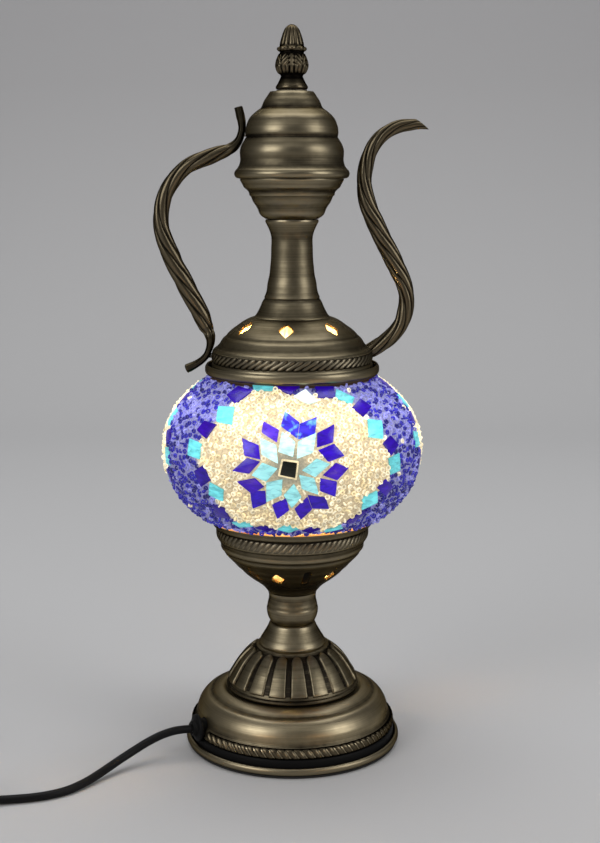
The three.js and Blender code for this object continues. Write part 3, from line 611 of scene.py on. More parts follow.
# the hole for the grommet
EX = np.array([-0.8988, -0.4384, 0.0])
EY = np.array([0.4384, -0.8988, 0.0])
EZ = np.array([0, 0, 1.0])
hv, hf = [], []
for d in (50.0, 78.0):
    for k in range(32):
        a = 2 * math.pi * k / 32
        hv.append(EX * d + EY * 6.1 * math.cos(a) + EZ * (17.6 + 6.1 * math.sin(a)))
hf.append(list(range(32)))
hf.append(list(range(63, 31, -1)))
for k in range(32):
    hf.append([k, k + 32, (k + 1) % 32 + 32, (k + 1) % 32][::-1][::-1])
hf = [f[::-1] for f in hf]
cut(dish, hv, hf)
rope("dish_rope", (65.35, 11.2), (64.9, 18.0), 80, 0.95, 1.55, "base", BRASS_ROD, gap=(-64 - 8.0, -64 + 8.0), rows=11, per=9)

# grommet: a soft rubber bush with a round flange and a boss
gm = Matrix(((EY[0], -EY[1] * 0 + EZ[0], EX[0], 0), (EY[1], EZ[1], EX[1], 0), (EY[2], EZ[2], EX[2], 17.6), (0, 0, 0, 1)))
grommet = shell("grommet", [(3.1, 58.2), (6.6, 58.2), (7.0, 58.6), (7.0, 59.6), (6.6, 60.0), (5.8, 60.2), (5.8, 66.3),
                            (8.2, 66.5), (8.75, 67.0), (8.8, 67.9), (8.4, 68.7), (6.9, 69.3), (5.5, 69.9), (5.0, 70.8),
                            (4.7, 71.5), (4.2, 71.8), (3.1, 71.8)],
                RUBBER, "base", inner=[(3.0, 70.0), (3.0, 60.0)], replaced=("cord_grommet",), seg=56,
                step=0.35, axis=np.array(gm), corner=55)


# fluted dome: raised panels with arched tops between narrow dark grooves
dome_prof = [(42.7, 37.4), (43.1, 37.8), (43.2, 38.3), (42.9, 39.2), (42.7, 40.6), (42.4, 42), (41.7, 44), (39.9, 47), (38.1, 50), (36.2, 53), (34.0, 56),
             (31.3, 59), (27.9, 62), (25.4, 63.8), (23.4, 64.9), (16, 65.1), (5.4, 65.1)]
dome_line = smooth_line(dome_prof, 0.5)
PAN0, PAN_TOP = 41.6, 63.9


def flutes(az, r, z):
    pitch = 20.0
    a = wrap(az - 6.4, pitch)  # panel middles at +6.4 and every 20 degrees
    arc = np.radians(np.abs(a)) * r
    half = np.radians(pitch / 2) * r
    # distance up the slope below the arch's top
    top_d = (PAN_TOP - z) * 1.5
    bot_d = (z - PAN0) * 1.1
    w = half - (0.15 + 0.036 * r)
    arch = np.clip(top_d / np.maximum(w, 0.1), 0, 1)
    w_here = w * np.sqrt(np.clip(1 - (1 - arch) ** 2, 0, 1))
    d = np.minimum(w_here - arc, bot_d)
    d = np.where(top_d <= 0, -np.abs(top_d) - 0.2, d)
    e = sstep((d + 0.25) / 1.0)
    crown = 0.35 * (1 - np.clip(arc / np.maximum(w, 0.5), 0, 1) ** 2) * e
    low = np.where((z > 39.4) & (z < 64.8), 1.0, 0.0) * sstep((z - 39.6) / 0.9) * sstep((64.8 - z) / 0.5)
    disp = (-1.35 * (1 - e) + crown - 0.1) * low
    # painted highlight: a bright line along each arch's rim (edge) and a lighter line down the middle of each groove
    # (mid)
    edge = np.exp(-((d - 0.45) / 0.35) ** 2)
    mid = np.exp(-(arc - half) ** 2 / 0.35) * (1 - e)
    cc = (1 - e) * low * 1.6 - 0.42 * edge * low - 0.10 * mid * low
    # painted shade: a dark band round the dome's foot, under the panels
    cc = cc + np.where(z < 39.9, 1.0, 0.0)
    return disp, cc


shell("fluted_cover", dome_prof, BRASS, "base", inner=[(5.4, 63.6), (22.8, 63.4), (30.0, 57.6), (37.6, 47), (41.4, 41.4), (42.0, 38.2)],
      replaced=("fluted_dome",), seg=648, step=0.5, disp=flutes, sharp=50)
shell("stem_flare", [(20.6, 65.3), (21.6, 65.3), (21.75, 65.7), (21.6, 66.6), (20.9, 68.3), (19.3, 71), (17.5, 74), (15.9, 77), (14.8, 79.3),
                     (14.2, 79.7), (5.4, 79.7)], BRASS, "base", inner=[(5.4, 78.2), (13.4, 78.2), (18.0, 71), (20.4, 66.9)],
      replaced=("stem_cone",))
shell("stem_ring", [(12.4, 79.9), (13.6, 79.9), (14.5, 80.9), (15.5, 82.7), (16.2, 84.6), (16.6, 86.6), (16.75, 88.6), (16.6, 90.2), (16.2, 90.9),
                    (16.25, 91.5), (16.1, 92.6), (15.6, 94.6), (15.3, 96.6), (15.35, 98.4), (15.8, 100.5), (15.2, 100.7), (5.4, 100.7)], BRASS, "base",
      inner=[(5.4, 99.4), (14.2, 99.4), (14.0, 94), (15.4, 88), (12.4, 81.2)], replaced=("stem_collar",))

# painted light: the insides of the cup and the cap glow orange, standing in for the lamp lighting them
LAMPLIT_INSIDE = Mat("painted_lamplight_inside")
ln_ = LAMPLIT_INSIDE.noise(220.0, 3.0, 0.6)
lcol = LAMPLIT_INSIDE.ramp(ln_, [(0.3, (0.62, 0.40, 0.17)), (0.7, (0.85, 0.58, 0.27))])
LAMPLIT_INSIDE.link(lcol, LAMPLIT_INSIDE.b.inputs["Base Color"])
LAMPLIT_INSIDE.link(lcol, LAMPLIT_INSIDE.b.inputs["Emission Color"])
LAMPLIT_INSIDE.link(LAMPLIT_INSIDE.remap(ln_, 0.3, 0.5, 0.3, 0.7), LAMPLIT_INSIDE.b.inputs["Roughness"])
LAMPLIT_INSIDE.set(metal=0.3, emit_strength=0.46)

# ------------------------------------------------------------ the globe cup
cup_outer = [(14.0, 100.9), (16.0, 101), (16.8, 102), (18.4, 104), (20.4, 106), (23.2, 108.2), (26.6, 110.6), (29.6, 113),
             (32.2, 115.3), (34.4, 117.7), (36.6, 119.7), (38.6, 122), (41, 124.5), (43.0, 126.6), (44.0, 128), (44.2, 129),
             (44.6, 129.6), (45.6, 130.4), (46.3, 131.5), (46.3, 132.6), (46.2, 133.4), (46.8, 134.6), (47.0, 136.2),
             (48.2, 137.0), (48.7, 138.2), (48.7, 144.0), (49.0, 144.9), (50.4, 145.6), (51.3, 146.6), (51.9, 148.0), (52.7, 149.4), (53.1, 150.4)]
cup_inner = [(52.3, 150.4), (51.3, 148.9), (50.3, 146.6), (49.0, 146.0), (48.0, 144.9), (47.6, 143), (47.3, 139), (45.6, 136.2), (45.2, 134),
             (45.0, 132.4), (43.3, 129.8), (42.4, 127.6), (39.8, 125.2), (37.4, 122.8), (35.4, 120.6), (33.2, 118.6), (31.0, 116.2),
             (28.5, 114.0), (25.6, 111.8), (22.2, 109.4), (19.2, 107.2), (16.6, 104.6), (14.4, 102.4), (5.4, 102.2), (5.4, 101.0)]
cup = shell("cup", cup_outer, BRASS, "base", inner=cup_inner, replaced=("globe_cup",), seg=192, step=0.8, lamplit_inside=LAMPLIT_INSIDE.m)
v1, f1 = prisms(lozenge(8.2, 12.2), 7, 33.8, 117.2, -45, [-15 + 60 * k for k in range(6)])
v2, f2 = prisms(slot_outline(5.0, 18.5), 7, 33.8, 117.2, -45, [15 + 60 * k for k in range(6)])
nv = len(v1)
cut(cup, v1 + v2, f1 + [[i + nv for i in f] for f in f2])
# painted shade: blackened strips inside the cup, behind the six slots, keep the slots dark
bv, bfc = [], []
for k in range(6):
    b0 = len(bv)
    a0 = 15 + 60 * k
    for i, (r, z) in enumerate([(23.6, 110.6), (26.6, 112.9), (29.6, 115.4), (32.0, 117.9), (34.6, 120.6), (37.2, 123.4)]):
        for j in range(7):
            azr = math.radians(a0 - 90 + (j - 3) / 3 * math.degrees(6.6 / r))
            for off in (0.25, 0.75):
                rr, zz_ = r - off * 0.73, z + off * 0.68
                bv.append((rr * math.cos(azr), rr * math.sin(azr), zz_))
    for i in range(5):
        for j in range(6):
            p = b0 + (i * 7 + j) * 2
            q = p + 14
            bfc.append([p, p + 2, q + 2, q])
            bfc.append([p + 1, q + 1, q + 3, p + 3])
    for i in range(5):
        for j in (0, 6):
            p = b0 + (i * 7 + j) * 2
            bfc.append([p, p + 14, p + 15, p + 1])
    for j in range(6):
        for i in (0, 5):
            p = b0 + (i * 7 + j) * 2
            bfc.append([p, p + 1, p + 3, p + 2])
add("cup_slot_shade_strips", bv, bfc, RUBBER, "base", sharp=50)
rope("cup_rope", (48.35, 137.4), (48.35, 144.8), 72, -1.45, 0.95, "base", BRASS_ROPE, rows=11, per=8, flat=0.8)

# --------------------------------------------------------- gallery and cap
shell("gallery", [(43.4, 244.2), (50.5, 243.9), (53.0, 243.6), (54.2, 243.9), (55.0, 245.0), (55.25, 246.9), (55.0, 248.7), (54.2, 249.9),
                  (53.5, 249.6), (53.3, 248.2), (53.1, 246.6), (52.4, 245.7), (43.4, 245.6)], BRASS, "upper",
      inner=[(43.4, 245.2), (43.4, 244.6)], replaced=("gallery_tray",), seg=192, step=0.6, corner=75)
cap_outer = [(50.2, 246.2), (50.7, 246.6), (50.9, 248), (50.9, 250.0), (50.3, 250.7), (50.0, 251.5), (50.0, 257.4), (50.3, 258.3), (49.6, 259.3),
             (47.6, 260.8), (46.0, 262.5), (44.6, 264.8), (43.2, 266.5), (42.3, 267.2), (41.5, 267.8), (41.1, 268.5),
             (39.7, 270), (37.4, 272.0), (34.6, 274), (31.8, 276), (28.3, 278), (25.2, 279.15), (22.4, 279.5)]
cap_inner = [(22.4, 278.6), (27.8, 276.6), (31.0, 274.8), (33.8, 272.8), (36.6, 270.8), (38.8, 268.8), (40.2, 267.2), (41.8, 265.8),
             (43.2, 264.0), (44.6, 261.8), (46.4, 259.8), (48.4, 258.2), (48.8, 256), (48.9, 252), (49.4, 249), (49.3, 246.2)]
cap = shell("cap", cap_outer, BRASS, "upper", inner=cap_inner, replaced=("cap_dome",), seg=192, step=0.8, lamplit_inside=LAMPLIT_INSIDE.m)
v1, f1 = prisms(lozenge(9.0, 12.4), 6, 34.2, 273.9, 54.5, [-5.6 + 51.4286 * k for k in range(7)])
cut(cap, v1, f1)
rope("cap_rope", (49.95, 250.7), (49.95, 258.3), 64, -1.7, 1.15, "upper", BRASS_ROPE, rows=13, per=9, s_curve=0.16)

# ------------------------------------------------------------ neck and head
neck_outer = [(23.6, 279.1), (24.3, 279.5), (23.4, 280.1), (21.8, 282.4), (20.5, 284.9), (19.4, 287.4), (18.6, 289.3), (17.9, 290.4), (17.2, 291.2),
              (17.5, 291.9), (17.1, 292.9), (16.4, 294.6), (15.8, 297.2), (15.5, 300), (14.9, 303), (14.3, 305.6), (13.8, 310), (13.3, 315),
              (13.05, 322), (13.1, 330), (13.7, 332.4), (14.7, 334.9), (15.9, 337.4), (16.7, 339.4), (16.4, 340.2), (14.6, 340.2)]
shell("neck_pipe", neck_outer, BRASS, "upper", inner=[(13.6, 339.4), (12.4, 334.4), (11.8, 330), (11.8, 314), (13.2, 303), (15.0, 293), (18.6, 285), (22.4, 279.4)],
      replaced=("neck",))
headl = [(15.4, 340.5), (16.6, 340.7), (17.4, 341.3), (19.0, 342.3), (20.4, 344.2), (21.2, 346.4), (22.4, 348.6), (23.6, 350.2), (24.6, 352.0),
         (25.6, 354.4), (26.5, 355.2), (26.7, 356.6), (28.2, 358.6), (29.9, 360.0), (30.8, 361.8), (31.7, 363.4), (32.3, 364.7), (32.2, 365.35), (31.2, 365.4)]
shell("head_flare", headl, BRASS, "upper", inner=[(29.8, 364.6), (28.0, 360.8), (25.4, 356.8), (22.6, 351.8), (19.4, 346.2), (16.0, 342.6), (14.8, 341.4)],
      replaced=("head_lower",), step=0.6)
headu = [(31.4, 365.3), (33.0, 365.4), (34.6, 365.9), (35.6, 367.2), (35.8, 368.6), (35.2, 370.2), (34.0, 371.5), (33.0, 373.0), (32.3, 374.9),
         (32.0, 376.9), (32.15, 379.2), (32.25, 381.6), (32.0, 383.4), (31.5, 385.0), (30.7, 386.8), (29.7, 388.4), (28.8, 389.8), (28.3, 390.6),
         (28.5, 391.4), (28.75, 392.8), (28.7, 394.6), (28.4, 396.6), (27.7, 398.8), (26.8, 401.0), (25.4, 403.0), (23.3, 405.0), (20.9, 406.9),
         (19.3, 408.0), (18.5, 409.2), (17.8, 411.0), (16.9, 412.9), (15.4, 415.0), (14.2, 416.9), (13.4, 417.9), (8.0, 418.1), (5.2, 418.1)]
shell("head_dome", headu, BRASS, "upper", inner=[(5.2, 416.8), (11.8, 416.4), (15.6, 410.4), (19.4, 405.9), (24.2, 401.6), (26.6, 396.0),
                                                 (27.6, 389.6), (30.2, 382.6), (30.4, 375.6), (32.6, 369.6), (31.8, 366.4), (29.8, 365.8)],
      replaced=("head_upper",), step=0.6)

# ------------------------------------------------------------------ finial
fin_prof = [(r_ * (0.955 if r_ > 1 else 1.0), z_) for r_, z_ in [(5.45, 419.3), (9.8, 419.3), (10.3, 419.9), (10.3, 420.9), (9.8, 421.8), (9.1, 422.9), (8.4, 424.2), (7.6, 425.8), (7.1, 427.1),
            (7.5, 428.0), (8.8, 429.4), (9.8, 431.2), (10.3, 433.2), (10.2, 434.8), (9.6, 437.0), (8.7, 439.1), (7.8, 440.7),
            (7.6, 441.5), (8.6, 442.3), (9.3, 443.2), (9.1, 444.1), (8.0, 444.7), (7.7, 445.6), (7.5, 446.6), (6.9, 448.8), (6.2, 451.0), (5.3, 453.4),
            (4.1, 455.6), (2.6, 457.2), (1.2, 457.9), (0.25, 458.0)]]


def finial_relief(az, r, z):
    d = np.zeros(np.broadcast(az, r, z).shape)
    c = np.zeros_like(d)
    az = az + 0 * z
    zz = z + 0 * az
    # acorn tip: twelve ribs
    w = sstep((zz - 445.0) / 1.2) * sstep((457.6 - zz) / 2.5)
    rib = np.abs(np.cos(np.radians(az) * 6.0)) ** 0.7
    d += w * (rib - 0.75) * 0.8
    c += w * (0.75 - 1.5 * rib)
    # ring of leaf tips that curl out
    w = np.exp(-((zz - 443.3) / 1.25) ** 2)
    tip = np.abs(np.cos(np.radians(az) * 4.0)) ** 0.8
    d += w * (tip - 0.8) * 1.9
    c += w * (0.5 - 1.2 * tip)
    # leaves on the bulb
    v = np.clip((zz - 427.6) / (440.8 - 427.6), 0, 1)
    w = sstep((zz - 427.8) / 1.2) * sstep((440.9 - zz) / 0.8)
    a = wrap(az, 90.0)
    q = np.abs(a) / 45.0
    arc = np.radians(np.abs(a)) * r
    midrib = np.exp(-(arc / 0.95) ** 4)
    groove = np.exp(-((arc - 1.75) / 0.5) ** 2)
    ph = v * 4.4 + (q ** 1.6) * 1.9
    vein = np.abs(np.cos(math.pi * ph)) ** 0.6
    upper = sstep((v - 0.30) / 0.2)
    low = np.abs(np.cos(math.pi * (q * 2.6))) ** 0.7
    body = (vein * upper + low * (1 - upper))
    border = np.exp(-((45.0 - np.abs(a)) / 3.5) ** 2)
    relief = np.maximum(midrib, body * (1 - midrib) - 0.2) - 0.6 * groove - 0.6 * border
    d += w * (relief - 0.5) * 0.85
    c += w * (0.75 - 1.35 * relief)
    return d, c


shell("finial_leaf", fin_prof, BRASS_ROD, "finial", inner=[(0.25, 456.0), (5.15, 440.0), (5.15, 421.0)], replaced=("finial",),
      seg=180, step=0.35, disp=finial_relief, sharp=60)


# --------------------------------------------------------- handle and spout
def bar(name, line, body, replaced, lobes=6, twist=-0.052, tip=None, flat_lo=5.4, flat_hi=8.2, width=4.7, seg=84, spin=0.0):
    """A drawn rod with round flutes that wind round it. Where it gets thin it is hammered flat, with two ridges."""
    L = smooth_line([(p[0], p[1], p[2]) for p in line], 0.55, corner=80)
    X = L[:, :2]
    th = L[:, 2]
    t = np.gradient(X, axis=0)
    t /= np.linalg.norm(t, axis=1)[:, None]
    for _ in range(6):
        t[1:-1] = (t[:-2] + 2 * t[1:-1] + t[2:]) / 4
    t /= np.linalg.norm(t, axis=1)[:, None]
    n = np.stack([-t[:, 1], t[:, 0]], 1)
    s = np.concatenate([[0], np.cumsum(np.linalg.norm(np.diff(X, axis=0), axis=1))])
    flat = 1 - sstep((th - flat_lo) / (flat_hi - flat_lo))
    if tip is not None:
        flat = flat * sstep((s - 34.0) / 10.0)
    a = th / 2
    b = a * (1 - flat) + width * flat
    ph = np.linspace(0, 2 * math.pi, seg, endpoint=False)[None, :]
    # the twist eases off where the rod is flat
    rate = twist * (1 - flat)
    psi = np.concatenate([[0], np.cumsum((rate[1:] + rate[:-1]) / 2 * np.diff(s))])[:, None] + spin
    u = ((ph + psi) * lobes / (2 * math.pi)) % 1.0
    lob = np.clip(1 - np.abs(2 * u - 1) ** 2.6, 0, 1) ** 0.7
    ff = flat[:, None]
    k = (1 - 0.21 * (1 - lob) * (1 - ff))
    power = 1.0 - 0.45 * ff
    c = np.sign(np.cos(ph)) * np.abs(np.cos(ph)) ** power
    q = np.sign(np.sin(ph)) * np.abs(np.sin(ph)) ** power
    ridge = np.exp(-((np.abs(q) - 0.5) / 0.22) ** 2)
    face = sstep((np.abs(c) - 0.3) / 0.4)
    ka = k + ff * face * (0.34 * ridge - 0.22)
    A = (a[:, None] * ka * c)
    B = (b[:, None] * k * q)
    N = np.stack([n[:, 0], np.zeros(len(n)), n[:, 1]], 1)
    if tip is not None:
        p0, p1 = np.array(tip[0]), np.array(tip[1])
        slant = (p0 - p1) / 2
        Nt = np.array([slant[0], 0, slant[1]])
        w = sstep(1 - s / 5.0)[:, None]
        base_n = N * a[:, None]
        sign = np.sign((N[0] * Nt).sum())
        vec = base_n * (1 - w) + (Nt * sign)[None] * w
        ln = np.maximum(np.linalg.norm(vec, axis=1), 1e-9)
        N = vec / ln[:, None]
        A = A / a[:, None] * ln[:, None]
    ctr = np.stack([X[:, 0], np.zeros(len(X)), X[:, 1]], 1)
    V = ctr[:, None, :] + N[:, None, :] * A[:, :, None] + np.array([0, 1.0, 0])[None, None] * B[:, :, None]
    cv = (1 - ff) * (0.95 - 1.75 * lob) + ff * face * (0.35 - 1.0 * ridge)
    rows = len(L)
    V = V.reshape(-1, 3)
    F = grid_faces(rows, seg).tolist()
    # rounded ends
    cv = list(cv.ravel())
    V = list(map(tuple, V))
    for row, d, flip in ((0, -1, False), (rows - 1, 1, True)):
        cc = ctr[row] + np.array([t[row][0], 0, t[row][1]]) * d * 0.35
        ring = [row * seg + j for j in range(seg)]
        inner = []
        for j in ring:
            p = np.array(V[j])
            inner.append(len(V))
            V.append(tuple(cc + (p - ctr[row]) * 0.86))
            cv.append(-0.2)
        V.append(tuple(cc))
        cv.append(0.0)
        ci = len(V) - 1
        for j in range(seg):
            j2 = (j + 1) % seg
            q1 = [ring[j], inner[j], inner[j2], ring[j2]]
            q2 = [inner[j], ci, inner[j2]]
            if flip:
                q1, q2 = q1[::-1], q2[::-1]
            F.append(q1)
            F.append(q2)
    o = add(name, V, F, BRASS_ROD, body, replaced, attrs={"cav": np.clip(cv, -1, 1)}, sharp=66)
    import bmesh
    bm = bmesh.new()
    bm.from_mesh(o.data)
    bmesh.ops.recalc_face_normals(bm, faces=bm.faces)
    bm.to_mesh(o.data)
    bm.free()
    return o


handle_line = [(-32.9, 408.4, 4.7), (-32.4, 406.6, 4.7), (-31.6, 403.0, 4.9), (-30.9, 399.4, 4.5), (-30.8, 395.8, 3.9), (-31.5, 392.0, 4.0), (-33.0, 388.4, 4.4),
               (-35.6, 385.3, 5.6), (-39.6, 382.9, 7.4), (-44.5, 381.0, 9.1), (-51.2, 378.6, 10.0), (-57.8, 376.3, 9.9), (-64.2, 373.1, 9.5),
               (-69.6, 368.8, 9.4), (-74.1, 363.7, 9.9), (-77.9, 357.4, 9.7), (-80.2, 351.3, 9.9), (-81.6, 344.4, 9.9), (-81.7, 337.2, 10.0),
               (-80.4, 330.4, 10.6), (-78.3, 323.7, 11.3), (-75.5, 317.3, 11.7), (-72.7, 310.8, 11.4), (-69.5, 304.7, 11.7), (-66.3, 298.3, 11.9),
               (-63.0, 291.9, 11.6), (-60.0, 286.0, 11.4), (-56.9, 279.6, 11.2), (-54.2, 273.1, 9.4), (-52.2, 268.6, 6.4), (-51.5, 265.0, 5.0),
               (-51.8, 261.6, 4.3), (-52.9, 258.0, 3.8), (-54.6, 254.6, 3.8), (-57.4, 251.7, 3.8), (-60.6, 249.5, 4.0), (-64.4, 247.5, 4.6),
               (-66.9, 246.4, 4.8)]
bar("handle_rod", handle_line, "upper", ("handle",), lobes=5, spin=0.4, twist=-0.058)
spout_line = [(80.9, 398.0, 5.6), (77.4, 398.3, 6.6), (73.4, 398.0, 7.2), (66.8, 397.2, 8.0), (60.7, 394.8, 8.4), (55.2, 391.1, 8.5),
              (50.9, 386.0, 8.7), (47.7, 379.6, 9.1), (45.9, 373.0, 9.5), (44.9, 366.0, 9.4), (45.2, 359.3, 9.9), (46.5, 352.3, 10.7),
              (48.6, 345.7, 11.1), (51.5, 339.2, 11.4), (54.3, 333.2, 11.2), (57.3, 326.9, 11.7), (60.7, 320.7, 11.3), (63.6, 314.8, 11.6),
              (66.7, 308.3, 11.3), (69.6, 302.3, 10.3), (71.6, 295.4, 10.1), (72.1, 288.6, 10.0), (71.2, 282.1, 10.3), (69.0, 275.4, 9.9),
              (65.2, 269.8, 9.8), (60.2, 264.9, 10.3), (54.5, 260.9, 10.1), (50.9, 258.7, 9.7), (46.8, 256.6, 9.0)]
bar("spout_rod", spout_line, "upper", ("spout",), tip=((77.4, 401.2), (84.4, 395.4)), flat_lo=0.1, flat_hi=0.2, spin=0.2, twist=-0.056)

# ------------------------------------------------------------- the mosaic
glob = [(54.5, 151.4), (57.5, 152.2), (59.8, 153.4), (62.3, 155.6), (65.2, 158), (68.2, 161), (71.2, 164.6), (74.2, 168.4), (76.8, 172.6),
        (79.2, 178), (81.1, 184), (82.2, 190), (82.5, 196.5), (82.1, 202), (81.0, 208), (79.1, 213.5), (76.6, 219), (73.0, 224.4),
        (69.0, 229), (64.6, 233.4), (60.2, 237), (55.8, 240.2), (51.5, 242.8)]
GL = smooth_line(glob, 0.5)
GN = normals2(GL)
for _ in range(4):
    GN[1:-1] = (GN[:-2] + 2 * GN[1:-1] + GN[2:]) / 4
GN /= np.linalg.norm(GN, axis=1)[:, None]
GS = np.concatenate([[0], np.cumsum(np.linalg.norm(np.diff(GL[:, :2], axis=0), axis=1))])


def z_to_s(z):
    return np.interp(z, GL[:, 1], GS)


def on_globe(az, s, off=0.0):
    """Points and normals on the globe from azimuth (degrees from the front) and the arc length up it."""
    az, s = np.asarray(az, float), np.asarray(s, float)
    r, z = np.interp(s, GS, GL[:, 0]), np.interp(s, GS, GL[:, 1])
    nr, nz = np.interp(s, GS, GN[:, 0]), np.interp(s, GS, GN[:, 1])
    a = np.radians(az - 90.0)
    rr = r + off * nr
    p = np.stack([rr * np.cos(a), rr * np.sin(a), z + off * nz], -1)
    n = np.stack([nr * np.cos(a), nr * np.sin(a), nz], -1)
    n /= np.linalg.norm(n, axis=-1, keepdims=True)
    return p, n


SQ = [(-4.0, 204.5), (3.2, 203.1), (2.2, 191.8), (-5.6, 194.2)]
CY = [[(-4.2, 219.9), (1.7, 214.0), (0.7, 205.5), (-5.5, 208.3)], [(11.1, 219.2), (9.0, 207.7), (2.2, 204.4), (2.7, 214.2)],
      [(4.2, 197.6), (10.5, 204.5), (16.1, 200.8), (9.7, 193.3)], [(3.1, 195.0), (9.4, 192.8), (11.7, 182.0), (4.2, 186.2)],
      [(1.0, 189.6), (4.3, 181.1), (0.1, 173.5), (-3.3, 182.4)], [(-3.6, 192.4), (-4.1, 182.3), (-10.9, 177.3), (-10.4, 190.1)],
      [(-5.6, 198.7), (-10.4, 190.5), (-16.6, 194.0), (-12.1, 202.0)], [(-13.7, 216.2), (-6.4, 212.3), (-5.4, 201.4), (-12.5, 206.4)]]
CO = [[(-3.3, 230.7), (3.8, 224.5), (2.5, 215.8), (-4.9, 222.7)], [(12.3, 227.3), (10.4, 218.2), (2.7, 215.3), (3.8, 224.0)],
      [(20.0, 223.1), (18.0, 213.0), (10.7, 210.6), (11.3, 218.7)], [(18.4, 212.5), (22.6, 205.0), (15.3, 202.0), (11.1, 209.2)],
      [(18.6, 201.5), (24.3, 197.7), (19.1, 190.6), (12.8, 194.3)], [(11.7, 192.7), (19.1, 190.0), (19.0, 180.1), (11.9, 184.6)],
      [(6.7, 182.3), (14.6, 180.2), (17.1, 172.2), (9.1, 173.2)], [(6.7, 181.3), (9.2, 172.8), (4.3, 165.2), (1.3, 173.1)],
      [(-2.2, 180.4), (-1.0, 172.4), (-6.8, 165.6), (-8.5, 175.9)], [(-10.9, 184.7), (-10.9, 176.6), (-17.5, 172.5), (-17.6, 184.2)],
      [(-23.3, 189.5), (-15.2, 192.5), (-11.2, 187.4), (-16.8, 182.4)], [(-25.3, 195.7), (-18.6, 204.3), (-12.9, 202.5), (-17.6, 194.8)],
      [(-22.0, 215.4), (-14.0, 211.9), (-12.9, 203.6), (-19.9, 205.3)], [(-13.2, 225.0), (-5.5, 220.6), (-6.2, 213.6), (-13.3, 218.9)]]
CH = [("c", [(-37.6, 241.7), (-24.9, 240.2), (-31.1, 232.9), (-40.6, 236.8)]), ("y", [(-27.1, 242.7), (-12.2, 243.2), (-12.4, 240.7), (-23.7, 240.2)]),
      ("c", [(-11.3, 242.8), (5.4, 242.9), (-0.8, 238.7), (-6.4, 240.8)]), ("y", [(8.9, 241.3), (14.4, 235.3), (9.0, 233.8), (1.2, 238.0)]),
      ("c", [(15.7, 242.5), (28.4, 241.9), (25.5, 236.5), (15.2, 237.0)]), ("y", [(29.3, 240.6), (37.6, 235.6), (33.2, 232.4), (25.5, 236.5)]),
      ("c", [(41.0, 234.7), (45.2, 230.1), (36.8, 225.4), (32.8, 230.9)]), ("y", [(38.4, 223.9), (46.6, 221.9), (43.5, 212.0), (35.7, 214.3)]),
      ("c", [(48.9, 212.9), (52.9, 206.5), (46.7, 201.2), (42.8, 209.4)]), ("y", [(45.2, 199.8), (52.5, 201.7), (53.4, 190.8), (46.7, 189.5)]),
      ("c", [(43.9, 187.3), (49.9, 181.4), (47.0, 175.4), (39.8, 182.5)]), ("y", [(32.6, 177.6), (39.9, 180.6), (42.6, 172.3), (34.6, 169.0)]),
      ("c", [(27.4, 160.0), (34.5, 166.7), (39.3, 167.7), (34.0, 158.8)]), ("y", [(18.4, 155.0), (26.8, 158.9), (30.0, 155.6), (20.1, 153.8)]),
      ("c", [(5.6, 156.2), (10.6, 159.4), (15.8, 157.0), (10.6, 153.9)]), ("y", [(-8.5, 157.6), (-2.2, 161.3), (3.8, 157.8), (-1.4, 154.7)]),
      ("c", [(-20.0, 157.4), (-14.4, 160.3), (-10.0, 157.4), (-14.0, 154.6)]), ("y", [(-33.0, 159.8), (-23.0, 161.5), (-20.9, 158.7), (-30.3, 156.4)]),
      ("c", [(-39.0, 171.8), (-32.5, 170.5), (-32.4, 162.8), (-41.5, 162.3)]), ("y", [(-36.8, 186.7), (-30.2, 183.1), (-31.9, 175.2), (-38.9, 178.3)]),
      ("c", [(-45.4, 192.1), (-39.9, 196.8), (-36.4, 188.0), (-42.7, 182.7)]), ("y", [(-50.3, 210.8), (-42.2, 209.5), (-42.3, 200.1), (-49.8, 201.1)]),
      ("c", [(-44.6, 222.2), (-36.7, 221.2), (-40.1, 212.6), (-47.2, 216.4)]), ("y", [(-40.9, 230.6), (-30.9, 231.3), (-28.4, 222.1), (-37.3, 222.7)])]

rng = np.random.RandomState(11)
COBALT, CYAN, BLACKT = lin(44, 8, 160), lin(100, 198, 206), lin(20, 22, 14)
tiles = []  # (kind, polygon in (azimuth, s), medallion, index)
loops = []
for med in range(3):
    jit = 0.0 if med == 0 else 0.55
    shift = 120.0 * med

    def place(poly, grow=0.99):
        m0 = np.mean(np.array(poly), 0)
        poly = [(m0[0] + (a - m0[0]) * grow, m0[1] + (z - m0[1]) * grow) for a, z in poly]
        q = [(a + shift + rng.uniform(-jit, jit), float(z_to_s(z + rng.uniform(-jit, jit)))) for a, z in poly]
        return q

    tiles.append(("frame", place(SQ, 1.0), med, 0))
    tiles.append(("black", place(SQ, 0.80), med, 0))
    for i, p in enumerate(CY):
        tiles.append(("cyan", place(p), med, i))
    for i, p in enumerate(CO):
        tiles.append(("cobalt", place(p), med, i))
    loop = []
    for i, (k, p) in enumerate(CH):
        q = place(p, 1.03)
        tiles.append(("cobalt" if k == "c" else "cyan", q, med, 100 + i))
        loop.append(np.mean(np.array(q), 0))
    loops.append(np.array(loop))


def flat_xy(az, s, c):
    """Local flat coordinates in mm about the point c = (azimuth, s)."""
    az = np.asarray(az, float)
    r = np.interp(s, GS, GL[:, 0])
    return np.stack([np.radians(wrap(az - c[0], 360.0)) * r, np.asarray(s, float) - c[1]], -1)


